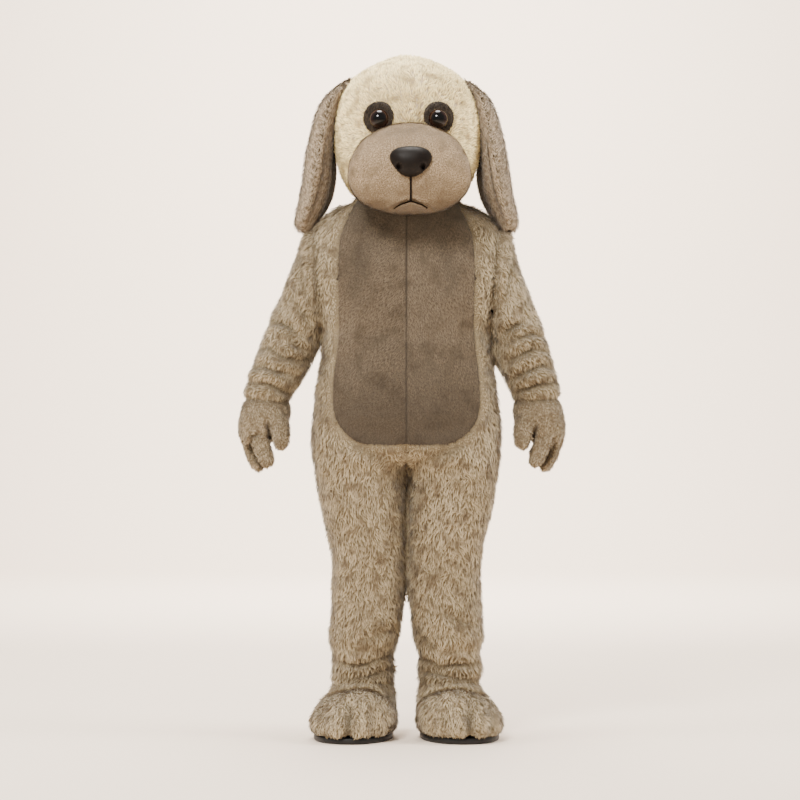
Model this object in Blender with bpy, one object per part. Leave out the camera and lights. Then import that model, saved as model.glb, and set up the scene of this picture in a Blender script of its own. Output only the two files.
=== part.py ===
"""Dog mascot costume: a hollow fur head, a one-piece fur suit, two mitts and two feet.

Metres, +Z up. The dog looks along -Y. The origin is between the wearer's shoulders, SHOULDER
above the floor. Tables give heights above the floor; `place` moves them to the origin.
"""

import math
from collections import namedtuple

import bmesh
import bpy
import numpy as np
from mathutils import Matrix, Vector

# driving dimensions
SHOULDER = 1.43  # from the floor to the origin
SEAM = 0.0003  # between two pieces sewn together
FUR = 0.008  # long pile with its backing
PLUSH = 0.005  # short pile with its backing
SHELL = 0.014  # foam shell of the head with its fur
SOLE = 0.017  # height of the sole

# suit: one ring of one half of the suit at each height
Ring = namedtuple("Ring", "height centre width middle depth squareness")
SUIT = [
    Ring(1.526, 0.000, 0.119, 0.010, 0.100, 2.0),
    Ring(1.508, 0.000, 0.119, 0.010, 0.101, 2.0),
    Ring(1.490, 0.000, 0.152, 0.008, 0.107, 2.0),
    Ring(1.460, 0.000, 0.192, 0.004, 0.114, 2.1),
    Ring(1.426, 0.000, 0.231, 0.000, 0.120, 2.2),
    Ring(1.408, 0.000, 0.251, 0.000, 0.124, 2.2),
    Ring(1.334, 0.000, 0.247, 0.000, 0.136, 2.3),
    Ring(1.233, 0.000, 0.240, 0.000, 0.149, 2.3),
    Ring(1.132, 0.000, 0.234, 0.000, 0.160, 2.3),
    Ring(1.076, 0.000, 0.236, -0.004, 0.166, 2.3),
    Ring(1.020, 0.000, 0.244, -0.008, 0.173, 2.3),
    Ring(0.965, 0.000, 0.254, -0.010, 0.179, 2.3),
    Ring(0.908, 0.000, 0.259, -0.010, 0.182, 2.3),
    Ring(0.890, 0.000, 0.263, -0.010, 0.182, 2.3),
    Ring(0.853, 0.012, 0.254, -0.008, 0.181, 2.3),
    Ring(0.825, 0.036, 0.231, -0.006, 0.178, 2.3),
    Ring(0.797, 0.074, 0.191, -0.004, 0.172, 2.2),
    Ring(0.774, 0.107, 0.157, -0.002, 0.165, 2.2),
    Ring(0.755, 0.1305, 0.1305, 0.000, 0.158, 2.2),
    Ring(0.713, 0.128, 0.127, 0.000, 0.151, 2.2),
    Ring(0.630, 0.121, 0.120, 0.000, 0.138, 2.2),
    Ring(0.573, 0.114, 0.113, 0.000, 0.129, 2.2),
    Ring(0.489, 0.105, 0.103, 0.000, 0.117, 2.2),
    Ring(0.426, 0.106, 0.103, 0.000, 0.113, 2.2),
    Ring(0.378, 0.108, 0.103, 0.000, 0.113, 2.2),
    Ring(0.294, 0.115, 0.100, 0.002, 0.113, 2.1),
    Ring(0.266, 0.118, 0.097, 0.004, 0.109, 2.1),
    Ring(0.211, 0.121, 0.086, 0.008, 0.097, 2.0),
    Ring(0.155, 0.119, 0.083, 0.010, 0.093, 2.0),
    Ring(0.111, 0.118, 0.087, 0.010, 0.096, 2.0),
]
# rows of the suit's cloth: from one height down to the next, in so many steps
Rows = namedtuple("Rows", "top bottom steps")
SHOULDER_ROWS = [Rows(1.526, 1.508, 1), Rows(1.508, 1.408, 5)]
BODY_ROWS = [Rows(1.132, 0.880, 6), Rows(0.880, 0.755, 6), Rows(0.755, 0.295, 8), Rows(0.295, 0.111, 12)]
COLUMNS = 6  # from the centre seam to the side seam

# armhole: an upright oval, leaning out a little at its top
Armhole = namedtuple("Armhole", "low_x low_height top_x top_height half_depth steps")
ARMHOLE = Armhole(0.234, 1.132, 0.251, 1.408, 0.095, 8)

# belly patch
PATCH_TOP = 1.516
PATCH_BOTTOM = 0.812
PATCH_CORNER = 0.118
PatchEdge = namedtuple("PatchEdge", "height half_width")
PATCH = [
    PatchEdge(1.516, 0.129),
    PatchEdge(1.470, 0.149),
    PatchEdge(1.415, 0.175),
    PatchEdge(1.365, 0.186),
    PatchEdge(1.253, 0.187),
    PatchEdge(1.132, 0.187),
    PatchEdge(1.031, 0.199),
    PatchEdge(0.951, 0.205),
    PatchEdge(0.890, 0.205),
]

# back zip
ZIP_TOP = 1.496
ZIP_BOTTOM = 0.950
ZIP_HALF = 0.0080
ZIP_TAPE = 0.0016
ZIP_SUNK = 0.0040  # below the tips of the fur
SLIDER_HEIGHT = 1.458
SLIDER = Vector((0.0100, 0.0050, 0.0140))
PULL = Vector((0.0060, 0.0016, 0.0300))
PIN = 0.0014  # radius of the pull's pin

# sleeve: front view of each ring, from its body side to its outer side
SleeveRing = namedtuple("SleeveRing", "inner_x inner_height outer_x outer_height middle half_depth")
SLEEVE = [
    SleeveRing(0.2337, 1.132, 0.2513, 1.408, 0.000, 0.095),
    SleeveRing(0.2356, 1.128, 0.2746, 1.397, 0.000, 0.096),
    SleeveRing(0.2370, 1.123, 0.2927, 1.375, 0.000, 0.097),
    SleeveRing(0.2384, 1.116, 0.3069, 1.340, 0.000, 0.096),
    SleeveRing(0.2394, 1.108, 0.3210, 1.298, 0.000, 0.095),
    SleeveRing(0.2404, 1.098, 0.3371, 1.256, 0.000, 0.093),
    SleeveRing(0.2423, 1.084, 0.3553, 1.209, 0.000, 0.091),
    SleeveRing(0.2473, 1.064, 0.3765, 1.163, -0.002, 0.089),
    SleeveRing(0.2554, 1.042, 0.3937, 1.114, -0.005, 0.087),
    SleeveRing(0.2685, 1.013, 0.4118, 1.062, -0.008, 0.083),
    SleeveRing(0.2867, 0.981, 0.4300, 1.007, -0.012, 0.078),
    SleeveRing(0.3018, 0.953, 0.4381, 0.967, -0.015, 0.071),
    SleeveRing(0.3085, 0.934, 0.4381, 0.942, -0.016, 0.066),
]
SLEEVE_STEPS = 19
ARM_LEAN = {-1: 0.013, 1: -0.013}  # how much further out the cuff of each arm hangs

# mitt: rings as on the sleeve from the wrist seam down, then four rounded fingers
WRIST = SLEEVE[-1]
MITT = [
    WRIST._replace(inner_height=WRIST.inner_height - SEAM, outer_height=WRIST.outer_height - SEAM),
    SleeveRing(0.3064, 0.9183, 0.4462, 0.9244, -0.016, 0.069),
    SleeveRing(0.3079, 0.8941, 0.4542, 0.8981, -0.016, 0.073),
    SleeveRing(0.3149, 0.8679, 0.4588, 0.8679, -0.014, 0.073),
    SleeveRing(0.3270, 0.8456, 0.4583, 0.8396, -0.012, 0.067),
    SleeveRing(0.3452, 0.8275, 0.4482, 0.8194, -0.010, 0.054),
    SleeveRing(0.3674, 0.8154, 0.4300, 0.8093, -0.010, 0.034),
]
MITT_STEPS = 6
Finger = namedtuple("Finger", "name root knuckle tip root_radius tip_radius")
FINGERS = [
    Finger("thumb", (0.355, -0.050, 0.895), (0.334, -0.066, 0.858), (0.336, -0.068, 0.826), 0.030, 0.0285),
    Finger("first", (0.406, -0.038, 0.870), (0.398, -0.052, 0.826), (0.375, -0.054, 0.775), 0.030, 0.0260),
    Finger("second", (0.424, -0.006, 0.870), (0.425, -0.006, 0.820), (0.402, -0.006, 0.764), 0.030, 0.0265),
    Finger("third", (0.424, 0.030, 0.870), (0.433, 0.038, 0.828), (0.416, 0.040, 0.780), 0.028, 0.0250),
]

# foot: rings from the sole up to the ankle, before it is turned out
FootRing = namedtuple("FootRing", "height half_width toe heel toe_swell aside")
FOOT = [
    FootRing(SOLE + SEAM, 0.1150, -0.222, 0.118, 0.0060, 0.0000),
    FootRing(0.0370, 0.1190, -0.228, 0.122, 0.0080, 0.0000),
    FootRing(0.0560, 0.1170, -0.221, 0.122, 0.0080, -0.0010),
    FootRing(0.0750, 0.1100, -0.199, 0.119, 0.0065, -0.0040),
    FootRing(0.0900, 0.1020, -0.168, 0.115, 0.0045, -0.0090),
    FootRing(0.1020, 0.0945, -0.130, 0.112, 0.0020, -0.0150),
    FootRing(SUIT[-1].height - SEAM, 0.0890, -0.092, 0.106, 0.0000, -0.0200),
]
FOOT_X = 0.1390
FOOT_TURN = math.radians(7.0)
TOES = 4
FOOT_SIDES = 24

# head
FACE_X = 0.006  # the face is set a little to the left of the body's middle
HEAD = [
    Ring(1.899, 0.003, 0.0182, 0.016, 0.0182, 2.0),
    Ring(1.891, 0.003, 0.0535, 0.016, 0.0545, 2.0),
    Ring(1.869, 0.003, 0.1030, 0.015, 0.1050, 2.0),
    Ring(1.847, 0.003, 0.1403, 0.014, 0.1423, 2.0),
    Ring(1.821, 0.003, 0.1696, 0.013, 0.1696, 2.0),
    Ring(1.783, 0.003, 0.1918, 0.012, 0.1918, 2.0),
    Ring(1.733, 0.003, 0.2049, 0.011, 0.2039, 2.0),
    Ring(1.682, 0.003, 0.2079, 0.010, 0.2079, 2.0),
    Ring(1.634, 0.003, 0.2069, 0.010, 0.2069, 2.0),
    Ring(1.597, 0.003, 0.2004, 0.010, 0.2019, 2.0),
    Ring(1.556, 0.003, 0.1867, 0.010, 0.1918, 2.0),
    Ring(1.521, 0.003, 0.1676, 0.010, 0.1756, 2.0),
    Ring(1.499, 0.003, 0.1504, 0.010, 0.1575, 2.0),
    Ring(1.516, 0.003, 0.1110, 0.010, 0.0989, 2.0),
]
HEAD_SIDES = 24
HOLLOW_SIDES = 16  # the foam inside is cut more plainly
HEAD_SPLIT = 0.020  # the seam from ear to ear
MUZZLE = [
    Ring(1.688, FACE_X, 0.0303, -0.175, 0.0303, 2.0),
    Ring(1.675, FACE_X, 0.0767, -0.172, 0.0565, 2.1),
    Ring(1.652, FACE_X, 0.1181, -0.168, 0.0868, 2.3),
    Ring(1.612, FACE_X, 0.1504, -0.168, 0.1131, 2.4),
    Ring(1.561, FACE_X, 0.1671, -0.190, 0.1030, 2.5),
    Ring(1.516, FACE_X, 0.1645, -0.205, 0.0858, 2.5),
    Ring(1.486, FACE_X, 0.1494, -0.203, 0.0787, 2.5),
    Ring(1.461, FACE_X, 0.1191, -0.203, 0.0656, 2.4),
    Ring(1.445, FACE_X, 0.0808, -0.198, 0.0485, 2.2),
    Ring(1.438, FACE_X, 0.0404, -0.196, 0.0262, 2.0),
]
MUZZLE_SIDES = 20
SNOUT_SIDES = 12
MOUTH_HEIGHT = 1.4700  # where the mouth's two curves meet
MOUTH_HALF = 0.0700
MOUTH_DROP = 0.0170
NOSE_HALF = Vector((0.0560, 0.0400, 0.0410))
NOSE_CENTRE = Vector((FACE_X + 0.004, -0.2870, 1.5715))
NOSE_TAPER = 0.30  # how much wider the nose is at its top
NOSTRIL_RADIUS = 0.0085
EYE_RADIUS = 0.0240
EYE = Vector((0.0800, -0.1840, 1.6980))
EYE_PATCH_HALF = Vector((0.0400, 0.0, 0.0430))
EYE_PATCH = Vector((0.0825, 0.0, 1.7050))

# ear: a padded lobe of two faces; rings down its length, its front edge turned out from the head
EarRing = namedtuple("EarRing", "height out middle half_width half_thick turn")
EAR = [
    EarRing(1.841, 0.119, 0.012, 0.035, 0.0160, 8.0),
    EarRing(1.824, 0.153, 0.012, 0.051, 0.0210, 9.0),
    EarRing(1.788, 0.198, 0.011, 0.061, 0.0225, 11.0),
    EarRing(1.738, 0.221, 0.009, 0.069, 0.0230, 14.0),
    EarRing(1.677, 0.229, 0.006, 0.076, 0.0230, 18.0),
    EarRing(1.612, 0.236, 0.003, 0.082, 0.0235, 24.0),
    EarRing(1.546, 0.242, 0.000, 0.086, 0.0240, 29.0),
    EarRing(1.491, 0.256, -0.003, 0.085, 0.0245, 29.0),
    EarRing(1.450, 0.273, -0.005, 0.075, 0.0240, 26.0),
    EarRing(1.423, 0.285, -0.006, 0.054, 0.0210, 20.0),
    EarRing(1.408, 0.286, -0.006, 0.028, 0.0140, 15.0),
]
EAR_SIDES = 7  # facets across one face

# folds: a soft ridge or hollow across the cloth; on the suit, at a height and around from the side
Fold = namedtuple("Fold", "sides at around half_length slope half_width rise")
BOTH = (-1, 1)
FOLDS = [
    Fold(BOTH, 1.077, 0.55, 0.55, 0.030, 0.016, 0.0045),
    Fold(BOTH, 1.036, 0.40, 0.45, 0.020, 0.014, -0.0030),
    Fold((-1,), 0.996, 0.30, 0.50, -0.020, 0.016, 0.0030),
    Fold((1,), 0.981, 0.35, 0.50, -0.025, 0.016, 0.0030),
    Fold(BOTH, 0.804, 1.10, 0.70, 0.040, 0.013, -0.0040),
    Fold(BOTH, 0.759, 1.30, 0.80, 0.050, 0.014, 0.0040),
    Fold((-1,), 0.648, 0.90, 0.80, -0.030, 0.018, 0.0030),
    Fold((1,), 0.607, 1.10, 0.80, 0.030, 0.018, 0.0030),
    Fold((-1,), 0.456, 1.20, 1.10, 0.025, 0.022, 0.0040),
    Fold((1,), 0.436, 0.90, 1.10, -0.025, 0.022, 0.0040),
    Fold(BOTH, 0.370, 2.00, 1.20, 0.030, 0.020, 0.0040),
    Fold((-1,), 0.276, 0.80, 1.60, 0.012, 0.014, 0.0070),
    Fold((1,), 0.270, 1.30, 1.60, -0.012, 0.014, 0.0070),
    Fold((-1,), 0.252, 2.00, 1.30, -0.010, 0.009, -0.0060),
    Fold((1,), 0.246, 0.60, 1.30, 0.010, 0.009, -0.0060),
    Fold((-1,), 0.224, 1.60, 1.70, -0.012, 0.012, 0.0070),
    Fold((1,), 0.220, 1.00, 1.70, 0.012, 0.012, 0.0070),
    Fold((-1,), 0.196, 0.70, 1.50, 0.010, 0.009, -0.0060),
    Fold((1,), 0.192, 1.80, 1.50, -0.010, 0.009, -0.0060),
    Fold((-1,), 0.171, 1.30, 1.80, 0.008, 0.011, 0.0065),
    Fold((1,), 0.169, 1.60, 1.80, -0.008, 0.011, 0.0065),
    Fold(BOTH, 0.141, 1.50, 2.60, 0.000, 0.009, -0.0050),
    Fold(BOTH, 0.829, -1.00, 0.70, 0.030, 0.016, 0.0040),
    Fold(BOTH, 0.789, -1.20, 0.80, 0.040, 0.014, -0.0040),
    Fold(BOTH, 0.466, -1.40, 1.00, -0.020, 0.020, 0.0045),
    Fold(BOTH, 0.431, -1.50, 1.00, 0.020, 0.014, -0.0040),
    Fold(BOTH, 0.271, -1.60, 1.40, 0.012, 0.013, 0.0065),
    Fold(BOTH, 0.246, -1.20, 1.20, -0.010, 0.009, -0.0055),
    Fold(BOTH, 0.220, -1.70, 1.40, -0.010, 0.012, 0.0065),
    Fold(BOTH, 0.194, -1.40, 1.20, 0.010, 0.009, -0.0055),
    Fold(BOTH, 0.170, -1.50, 1.40, 0.008, 0.011, 0.0060),
]
# folds of the sleeves: at 0 by the armhole, at 1 by the cuff; around 0 is the outer side, + the front
SLEEVE_FOLDS = [
    Fold(BOTH, 0.16, 1.10, 0.70, 0.050, 0.050, 0.0040),
    Fold(BOTH, 0.27, 1.50, 0.60, 0.060, 0.030, -0.0040),
    Fold((-1,), 0.40, 0.90, 1.00, 0.030, 0.040, 0.0050),
    Fold((1,), 0.42, 1.20, 1.00, -0.030, 0.040, 0.0050),
    Fold((-1,), 0.50, 1.60, 1.10, -0.030, 0.026, -0.0060),
    Fold((1,), 0.52, 0.90, 1.10, 0.030, 0.026, -0.0060),
    Fold((-1,), 0.57, 0.80, 1.30, 0.024, 0.026, 0.0060),
    Fold((1,), 0.59, 1.30, 1.30, -0.024, 0.026, 0.0060),
    Fold((-1,), 0.64, 1.70, 1.30, 0.020, 0.020, -0.0060),
    Fold((1,), 0.66, 1.00, 1.30, -0.020, 0.020, -0.0060),
    Fold((-1,), 0.70, 1.00, 1.50, -0.020, 0.022, 0.0060),
    Fold((1,), 0.72, 1.60, 1.50, 0.020, 0.022, 0.0060),
    Fold((-1,), 0.77, 1.40, 1.50, 0.018, 0.018, -0.0055),
    Fold((1,), 0.78, 0.90, 1.50, -0.018, 0.018, -0.0055),
    Fold((-1,), 0.83, 0.90, 1.70, -0.016, 0.020, 0.0060),
    Fold((1,), 0.84, 1.50, 1.70, 0.016, 0.020, 0.0060),
    Fold(BOTH, 0.89, 1.30, 1.90, 0.012, 0.016, -0.0050),
    Fold(BOTH, 0.94, 1.10, 2.20, -0.010, 0.018, 0.0050),
    Fold(BOTH, 0.30, -1.40, 0.90, -0.050, 0.036, -0.0040),
    Fold(BOTH, 0.48, -1.20, 1.00, 0.030, 0.034, 0.0050),
    Fold(BOTH, 0.60, -1.50, 1.10, -0.030, 0.024, -0.0055),
    Fold(BOTH, 0.72, -1.30, 1.20, 0.024, 0.026, 0.0055),
    Fold(BOTH, 0.82, -1.50, 1.20, -0.020, 0.020, -0.0050),
]

# finishes: colour, roughness, metallic
Finish = namedtuple("Finish", "colour roughness metallic")
FINISHES = {
    "body_fur": Finish((0.44, 0.37, 0.27), 0.95, 0.0),
    "head_fur": Finish((0.72, 0.62, 0.46), 0.95, 0.0),
    "muzzle_plush": Finish((0.42, 0.32, 0.25), 0.92, 0.0),
    "chin_plush": Finish((0.50, 0.41, 0.31), 0.92, 0.0),
    "belly_plush": Finish((0.17, 0.13, 0.095), 0.90, 0.0),
    "ear_fur": Finish((0.30, 0.23, 0.17), 0.95, 0.0),
    "eye_patch_plush": Finish((0.10, 0.072, 0.048), 0.90, 0.0),
    "eye_plastic": Finish((0.02, 0.009, 0.006), 0.08, 0.0),
    "nose_plastic": Finish((0.022, 0.017, 0.015), 0.40, 0.0),
    "sole_rubber": Finish((0.018, 0.017, 0.016), 0.70, 0.0),
    "zip_tape": Finish((0.30, 0.25, 0.18), 0.85, 0.0),
    "zip_metal": Finish((0.45, 0.42, 0.38), 0.35, 1.0),
}


# ---------------------------------------------------------------- scene and materials

def clear():
    """Removes whatever the file held."""
    for item in list(bpy.data.objects):
        bpy.data.objects.remove(item, do_unlink=True)


def collection(name, hidden=False):
    """A collection under the scene's own."""
    made = bpy.data.collections.new(name)
    bpy.context.scene.collection.children.link(made)
    made.hide_render = hidden
    return made


def material(name):
    """The Principled material of one of FINISHES."""
    found = bpy.data.materials.get(name)
    if found:
        return found
    finish = FINISHES[name]
    made = bpy.data.materials.new(name)
    made.use_nodes = True
    shader = made.node_tree.nodes["Principled BSDF"]
    shader.inputs["Base Color"].default_value = (*finish.colour, 1.0)
    shader.inputs["Roughness"].default_value = finish.roughness
    shader.inputs["Metallic"].default_value = finish.metallic
    made.diffuse_color = (*finish.colour, 1.0)
    return made


def place(point):
    """A point given by its height above the floor, seen from the origin."""
    return (point[0], point[1], point[2] - SHOULDER)


def as_object(name, mesh, group, finish=None):
    """Links a mesh as an object, shaded smooth but for its rims."""
    item = bpy.data.objects.new(name, mesh)
    group.objects.link(item)
    if finish:
        mesh.materials.clear()
        mesh.materials.append(material(finish))
    mesh.shade_smooth()
    mesh.set_sharp_from_angle(angle=math.radians(50.0))
    return item


def mesh_of(name, points, faces):
    """A mesh with triangulated faces that point outwards."""
    mesh = bpy.data.meshes.new(name)
    mesh.from_pydata([place(p) for p in points], [], faces)
    work = bmesh.new()
    work.from_mesh(mesh)
    bmesh.ops.recalc_face_normals(work, faces=work.faces)
    bmesh.ops.triangulate(work, faces=work.faces, quad_method="SHORT_EDGE")
    work.to_mesh(mesh)
    work.free()
    return mesh


# ---------------------------------------------------------------- curves through tables

def curve(knots, values, at):
    """A cubic through values at rising or falling knots, without overshoot."""
    knots = np.array(knots)
    values = np.array(values)
    if knots[0] > knots[-1]:
        knots = knots[::-1]
        values = values[::-1]
    steps = np.diff(knots)
    slopes = np.diff(values) / steps
    tangents = np.zeros(len(knots))
    tangents[0] = slopes[0]
    tangents[-1] = slopes[-1]
    for i in range(1, len(knots) - 1):
        if slopes[i - 1] * slopes[i] > 0:
            tangents[i] = 2 * slopes[i - 1] * slopes[i] / (slopes[i - 1] + slopes[i])
    at = min(max(at, knots[0]), knots[-1])
    i = min(int(np.searchsorted(knots, at, side="right")) - 1, len(steps) - 1)
    t = (at - knots[i]) / steps[i]
    rise = values[i + 1] - values[i]
    start = tangents[i] * steps[i]
    end = tangents[i + 1] * steps[i]
    bend = (3 * rise - 2 * start - end) * t**2 + (start + end - 2 * rise) * t**3
    return float(values[i] + start * t + bend)


def smooth(table, field, height):
    """Reads a column of a table at any height."""
    return curve([row.height for row in table], [getattr(row, field) for row in table], height)


def power(value, exponent):
    """A power that keeps the value's sign."""
    return math.copysign(abs(value) ** exponent, value)


# ---------------------------------------------------------------- walls and solids

def wall(outer, inner, closed):
    """Points and faces of cloth between two grids, with rims along its open edges."""
    rows = len(outer)
    columns = len(outer[0])
    points = [p for row in outer for p in row] + [p for row in inner for p in row]
    below = rows * columns
    faces = []
    spans = columns if closed else columns - 1
    for r in range(rows - 1):
        for c in range(spans):
            d = (c + 1) % columns
            quad = [r * columns + c, r * columns + d, (r + 1) * columns + d, (r + 1) * columns + c]
            faces.append(quad)
            faces.append([below + i for i in reversed(quad)])
    for r in (0, rows - 1):
        for c in range(spans):
            d = (c + 1) % columns
            edge = [r * columns + c, r * columns + d]
            rim = [edge[0], edge[1], below + edge[1], below + edge[0]]
            faces.append(rim if r else rim[::-1])
    if not closed:
        for c in (0, columns - 1):
            for r in range(rows - 1):
                edge = [r * columns + c, (r + 1) * columns + c]
                rim = [edge[0], edge[1], below + edge[1], below + edge[0]]
                faces.append(rim if c == 0 else rim[::-1])
    return points, faces


def loft(rings):
    """Points and faces of a solid through closed rings, capped at both ends."""
    count = len(rings[0])
    points = [p for ring in rings for p in ring]
    faces = []
    for r in range(len(rings) - 1):
        for c in range(count):
            d = (c + 1) % count
            faces.append([r * count + c, r * count + d, (r + 1) * count + d, (r + 1) * count + c])
    last = (len(rings) - 1) * count
    faces.append(list(range(count)))
    faces.append([last + c for c in reversed(range(count))])
    return points, faces


def boolean(base, tool, operation, drop_tool=False):
    """Cuts or joins with the exact solver, and keeps the result as the base's mesh."""
    step = base.modifiers.new(operation.lower(), "BOOLEAN")
    step.operation = operation
    step.solver = "EXACT"
    step.object = tool
    evaluated = base.evaluated_get(bpy.context.evaluated_depsgraph_get())
    mesh = bpy.data.meshes.new_from_object(evaluated)
    base.modifiers.clear()
    base.data = mesh
    if drop_tool:
        bpy.data.objects.remove(tool, do_unlink=True)
    return base


def cutter(name, mesh, group):
    """An object that only cuts."""
    item = bpy.data.objects.new(name, mesh)
    group.objects.link(item)
    item.hide_render = True
    item.display_type = "WIRE"
    return item


def grown(source, distance, group):
    """A copy of a closed form with its surface moved out by a distance."""
    mesh = source.data.copy()
    normals = [v.normal.copy() for v in mesh.vertices]
    for vertex, normal in zip(mesh.vertices, normals):
        vertex.co += normal * distance
    return cutter(f"{source.name}_{distance:+.4f}", mesh, group)


def prism(name, outline, near, far, group):
    """A cutter: an outline in the front view, drawn through from one depth to another."""
    front = [(x, near, z) for x, z in outline]
    back = [(x, far, z) for x, z in outline]
    return cutter(name, mesh_of(name, *loft([front, back])), group)


def block(name, low, high, group):
    """A cutter: a box between two corners."""
    ring = [(low[0], low[1]), (high[0], low[1]), (high[0], high[1]), (low[0], high[1])]
    rings = [[(x, y, z) for x, y in ring] for z in (low[2], high[2])]
    return cutter(name, mesh_of(name, *loft(rings)), group)


# ---------------------------------------------------------------- the suit's surface

def armhole_x(height):
    """Where the armhole's plane stands at a height."""
    share = (height - ARMHOLE.low_height) / (ARMHOLE.top_height - ARMHOLE.low_height)
    return ARMHOLE.low_x + share * (ARMHOLE.top_x - ARMHOLE.low_x)


def armhole_angle(step):
    """The angle of one of the armhole's points, from its lowest up to its highest."""
    return math.pi * step / ARMHOLE.steps


def armhole_height(angle, inset=0.0):
    """Height of an armhole's point."""
    middle = (ARMHOLE.low_height + ARMHOLE.top_height) / 2
    half = (ARMHOLE.top_height - ARMHOLE.low_height) / 2 - inset
    return middle - half * math.cos(angle)


def section(height):
    """The suit's ring at a height, wide enough to pass through the armhole's edge."""
    centre, width, middle, depth, squareness = (
        smooth(SUIT, field, height) for field in ("centre", "width", "middle", "depth", "squareness")
    )
    if ARMHOLE.low_height < height < ARMHOLE.top_height:
        half = (ARMHOLE.top_height - ARMHOLE.low_height) / 2
        level = (height - ARMHOLE.low_height - half) / half
        edge = ARMHOLE.half_depth * math.sqrt(max(0.0, 1 - level**2))
        width = armhole_x(height) / (1 - (edge / depth) ** squareness) ** (1 / squareness)
    return centre, width, middle, depth, squareness


def ridge(distance, half_width):
    """A soft bump's height at a distance from its middle."""
    return math.exp(-((distance / half_width) ** 2))


def fold_rise(folds, side, at, angle):
    """How far the folds lift the cloth at a place along and around it."""
    total = 0.0
    for fold in folds:
        if side not in fold.sides:
            continue
        turn = (angle - fold.around + math.pi) % (2 * math.pi) - math.pi
        centre = fold.at + fold.slope * turn
        total += fold.rise * ridge(at - centre, fold.half_width) * ridge(turn, fold.half_length)
    return total


def calm(height, angle):
    """Fades the folds out where the suit's two halves meet and at the armhole and hem."""
    seam = min(1.0, max(0.0, (math.pi / 2 - abs(angle)) / 0.5)) if height > 0.74 else 1.0
    inseam = min(1.0, max(0.0, (math.pi - abs(angle)) / 0.6))
    top = min(1.0, max(0.0, (ARMHOLE.low_height - 0.01 - height) / 0.03))
    hem = min(1.0, max(0.0, (height - SUIT[-1].height) / 0.02))
    return seam * inseam * top * hem


def surface(side, height, angle):
    """A point of the suit's outer face and its direction outwards. Angle 0 is the side, + the front."""
    centre, width, middle, depth, squareness = section(height)
    x = centre + width * power(math.cos(angle), 2 / squareness)
    y = middle - depth * power(math.sin(angle), 2 / squareness)

    def outside(at):
        c, w, m, d, n = section(at)
        return abs((x - c) / w) ** n + abs((y - m) / d) ** n

    step = 0.002
    fall = (outside(height + step) - outside(height - step)) / (2 * step)
    across = squareness * power((x - centre) / width, squareness - 1) / width
    along = squareness * power((y - middle) / depth, squareness - 1) / depth
    normal = Vector((across, along, fall)).normalized()
    lift = fold_rise(FOLDS, side, height, angle) * calm(height, angle)
    point = Vector((x, y, height)) + normal * lift
    return point, normal


def angle_at_x(height, x):
    """The angle at which the suit's ring crosses a distance from the middle plane."""
    centre, width, _, _, squareness = section(height)
    share = max(-1.0, min(1.0, (x - centre) / width))
    return math.acos(power(share, squareness / 2))


def angle_beside(height, gap):
    """The angle that leaves half a seam beside the side seam or the inseam."""
    _, _, _, depth, squareness = section(height)
    return math.asin((gap / depth) ** (squareness / 2))


def suit_heights():
    """The heights of the suit's rows, top down."""
    heights = []
    for rows in SHOULDER_ROWS:
        heights += list(np.linspace(rows.top, rows.bottom, rows.steps + 1))[:-1]
    heights += [armhole_height(armhole_angle(k)) for k in range(ARMHOLE.steps, 0, -1)]
    for rows in BODY_ROWS:
        heights += list(np.linspace(rows.top, rows.bottom, rows.steps + 1))[:-1]
    return heights + [BODY_ROWS[-1].bottom]


def centre_gap(height, front):
    """How far the half's centre edge stands from the middle plane."""
    if not front and ZIP_BOTTOM <= height <= ZIP_TOP:
        return ZIP_HALF + SEAM / 2
    return SEAM / 2


def panel_row(side, height, front):
    """Outer and inner points of one row, from the centre seam to the side."""
    inseam = math.pi - angle_beside(height, SEAM / 2)
    start = min(angle_at_x(height, centre_gap(height, front)), inseam)
    end = angle_beside(height, SEAM / 2)
    if ARMHOLE.low_height < height < ARMHOLE.top_height:
        end = max(end, angle_at_x(height, armhole_x(height)))
    facing = 1 if front else -1
    outer = []
    inner = []
    for angle in np.linspace(start, end, COLUMNS + 1):
        point, normal = surface(side, height, facing * float(angle))
        lining = point - normal * FUR
        lining.x = max(lining.x, min(point.x, SEAM / 2))
        if height in (SUIT[0].height, SUIT[-1].height):
            lining.z = height
        outer.append(point)
        inner.append(lining)
    on_edge = ARMHOLE.low_height <= height + 1e-6 and height - 1e-6 <= ARMHOLE.top_height
    if on_edge:
        half = (ARMHOLE.top_height - ARMHOLE.low_height) / 2
        cosine = (ARMHOLE.low_height + half - height) / half
        theta = math.acos(max(-1.0, min(1.0, cosine)))
        level = armhole_height(theta, FUR)
        edge = max(SEAM / 2, (ARMHOLE.half_depth - FUR) * math.sin(theta))
        inner[-1] = Vector((armhole_x(level), -facing * edge, level))
    mirror = Vector((side, 1, 1))
    return [p * mirror for p in outer], [p * mirror for p in inner]


def panel(name, side, front, groups):
    """One half of the suit's front or back, from the collar to the ankle."""
    rows = [panel_row(side, height, front) for height in suit_heights()]
    mesh = mesh_of(name, *wall([r[0] for r in rows], [r[1] for r in rows], closed=False))
    return as_object(name, mesh, groups["part"], "body_fur")


def patch_outline(margin):
    """The belly patch's outline in the front view, let out by a margin."""
    right = [(smooth(PATCH, "half_width", h) + margin, h) for h in np.linspace(PATCH_TOP + 0.05, 0.92, 12)]
    wide = smooth(PATCH, "half_width", PATCH_BOTTOM + PATCH_CORNER) + margin
    low = PATCH_BOTTOM - margin
    for step in range(1, 9):
        turn = math.pi / 2 * step / 8
        x = wide - PATCH_CORNER + PATCH_CORNER * math.cos(turn)
        right.append((x, low + PATCH_CORNER - PATCH_CORNER * math.sin(turn)))
    left = [(-x, z) for x, z in reversed(right)]
    return right + left


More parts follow.
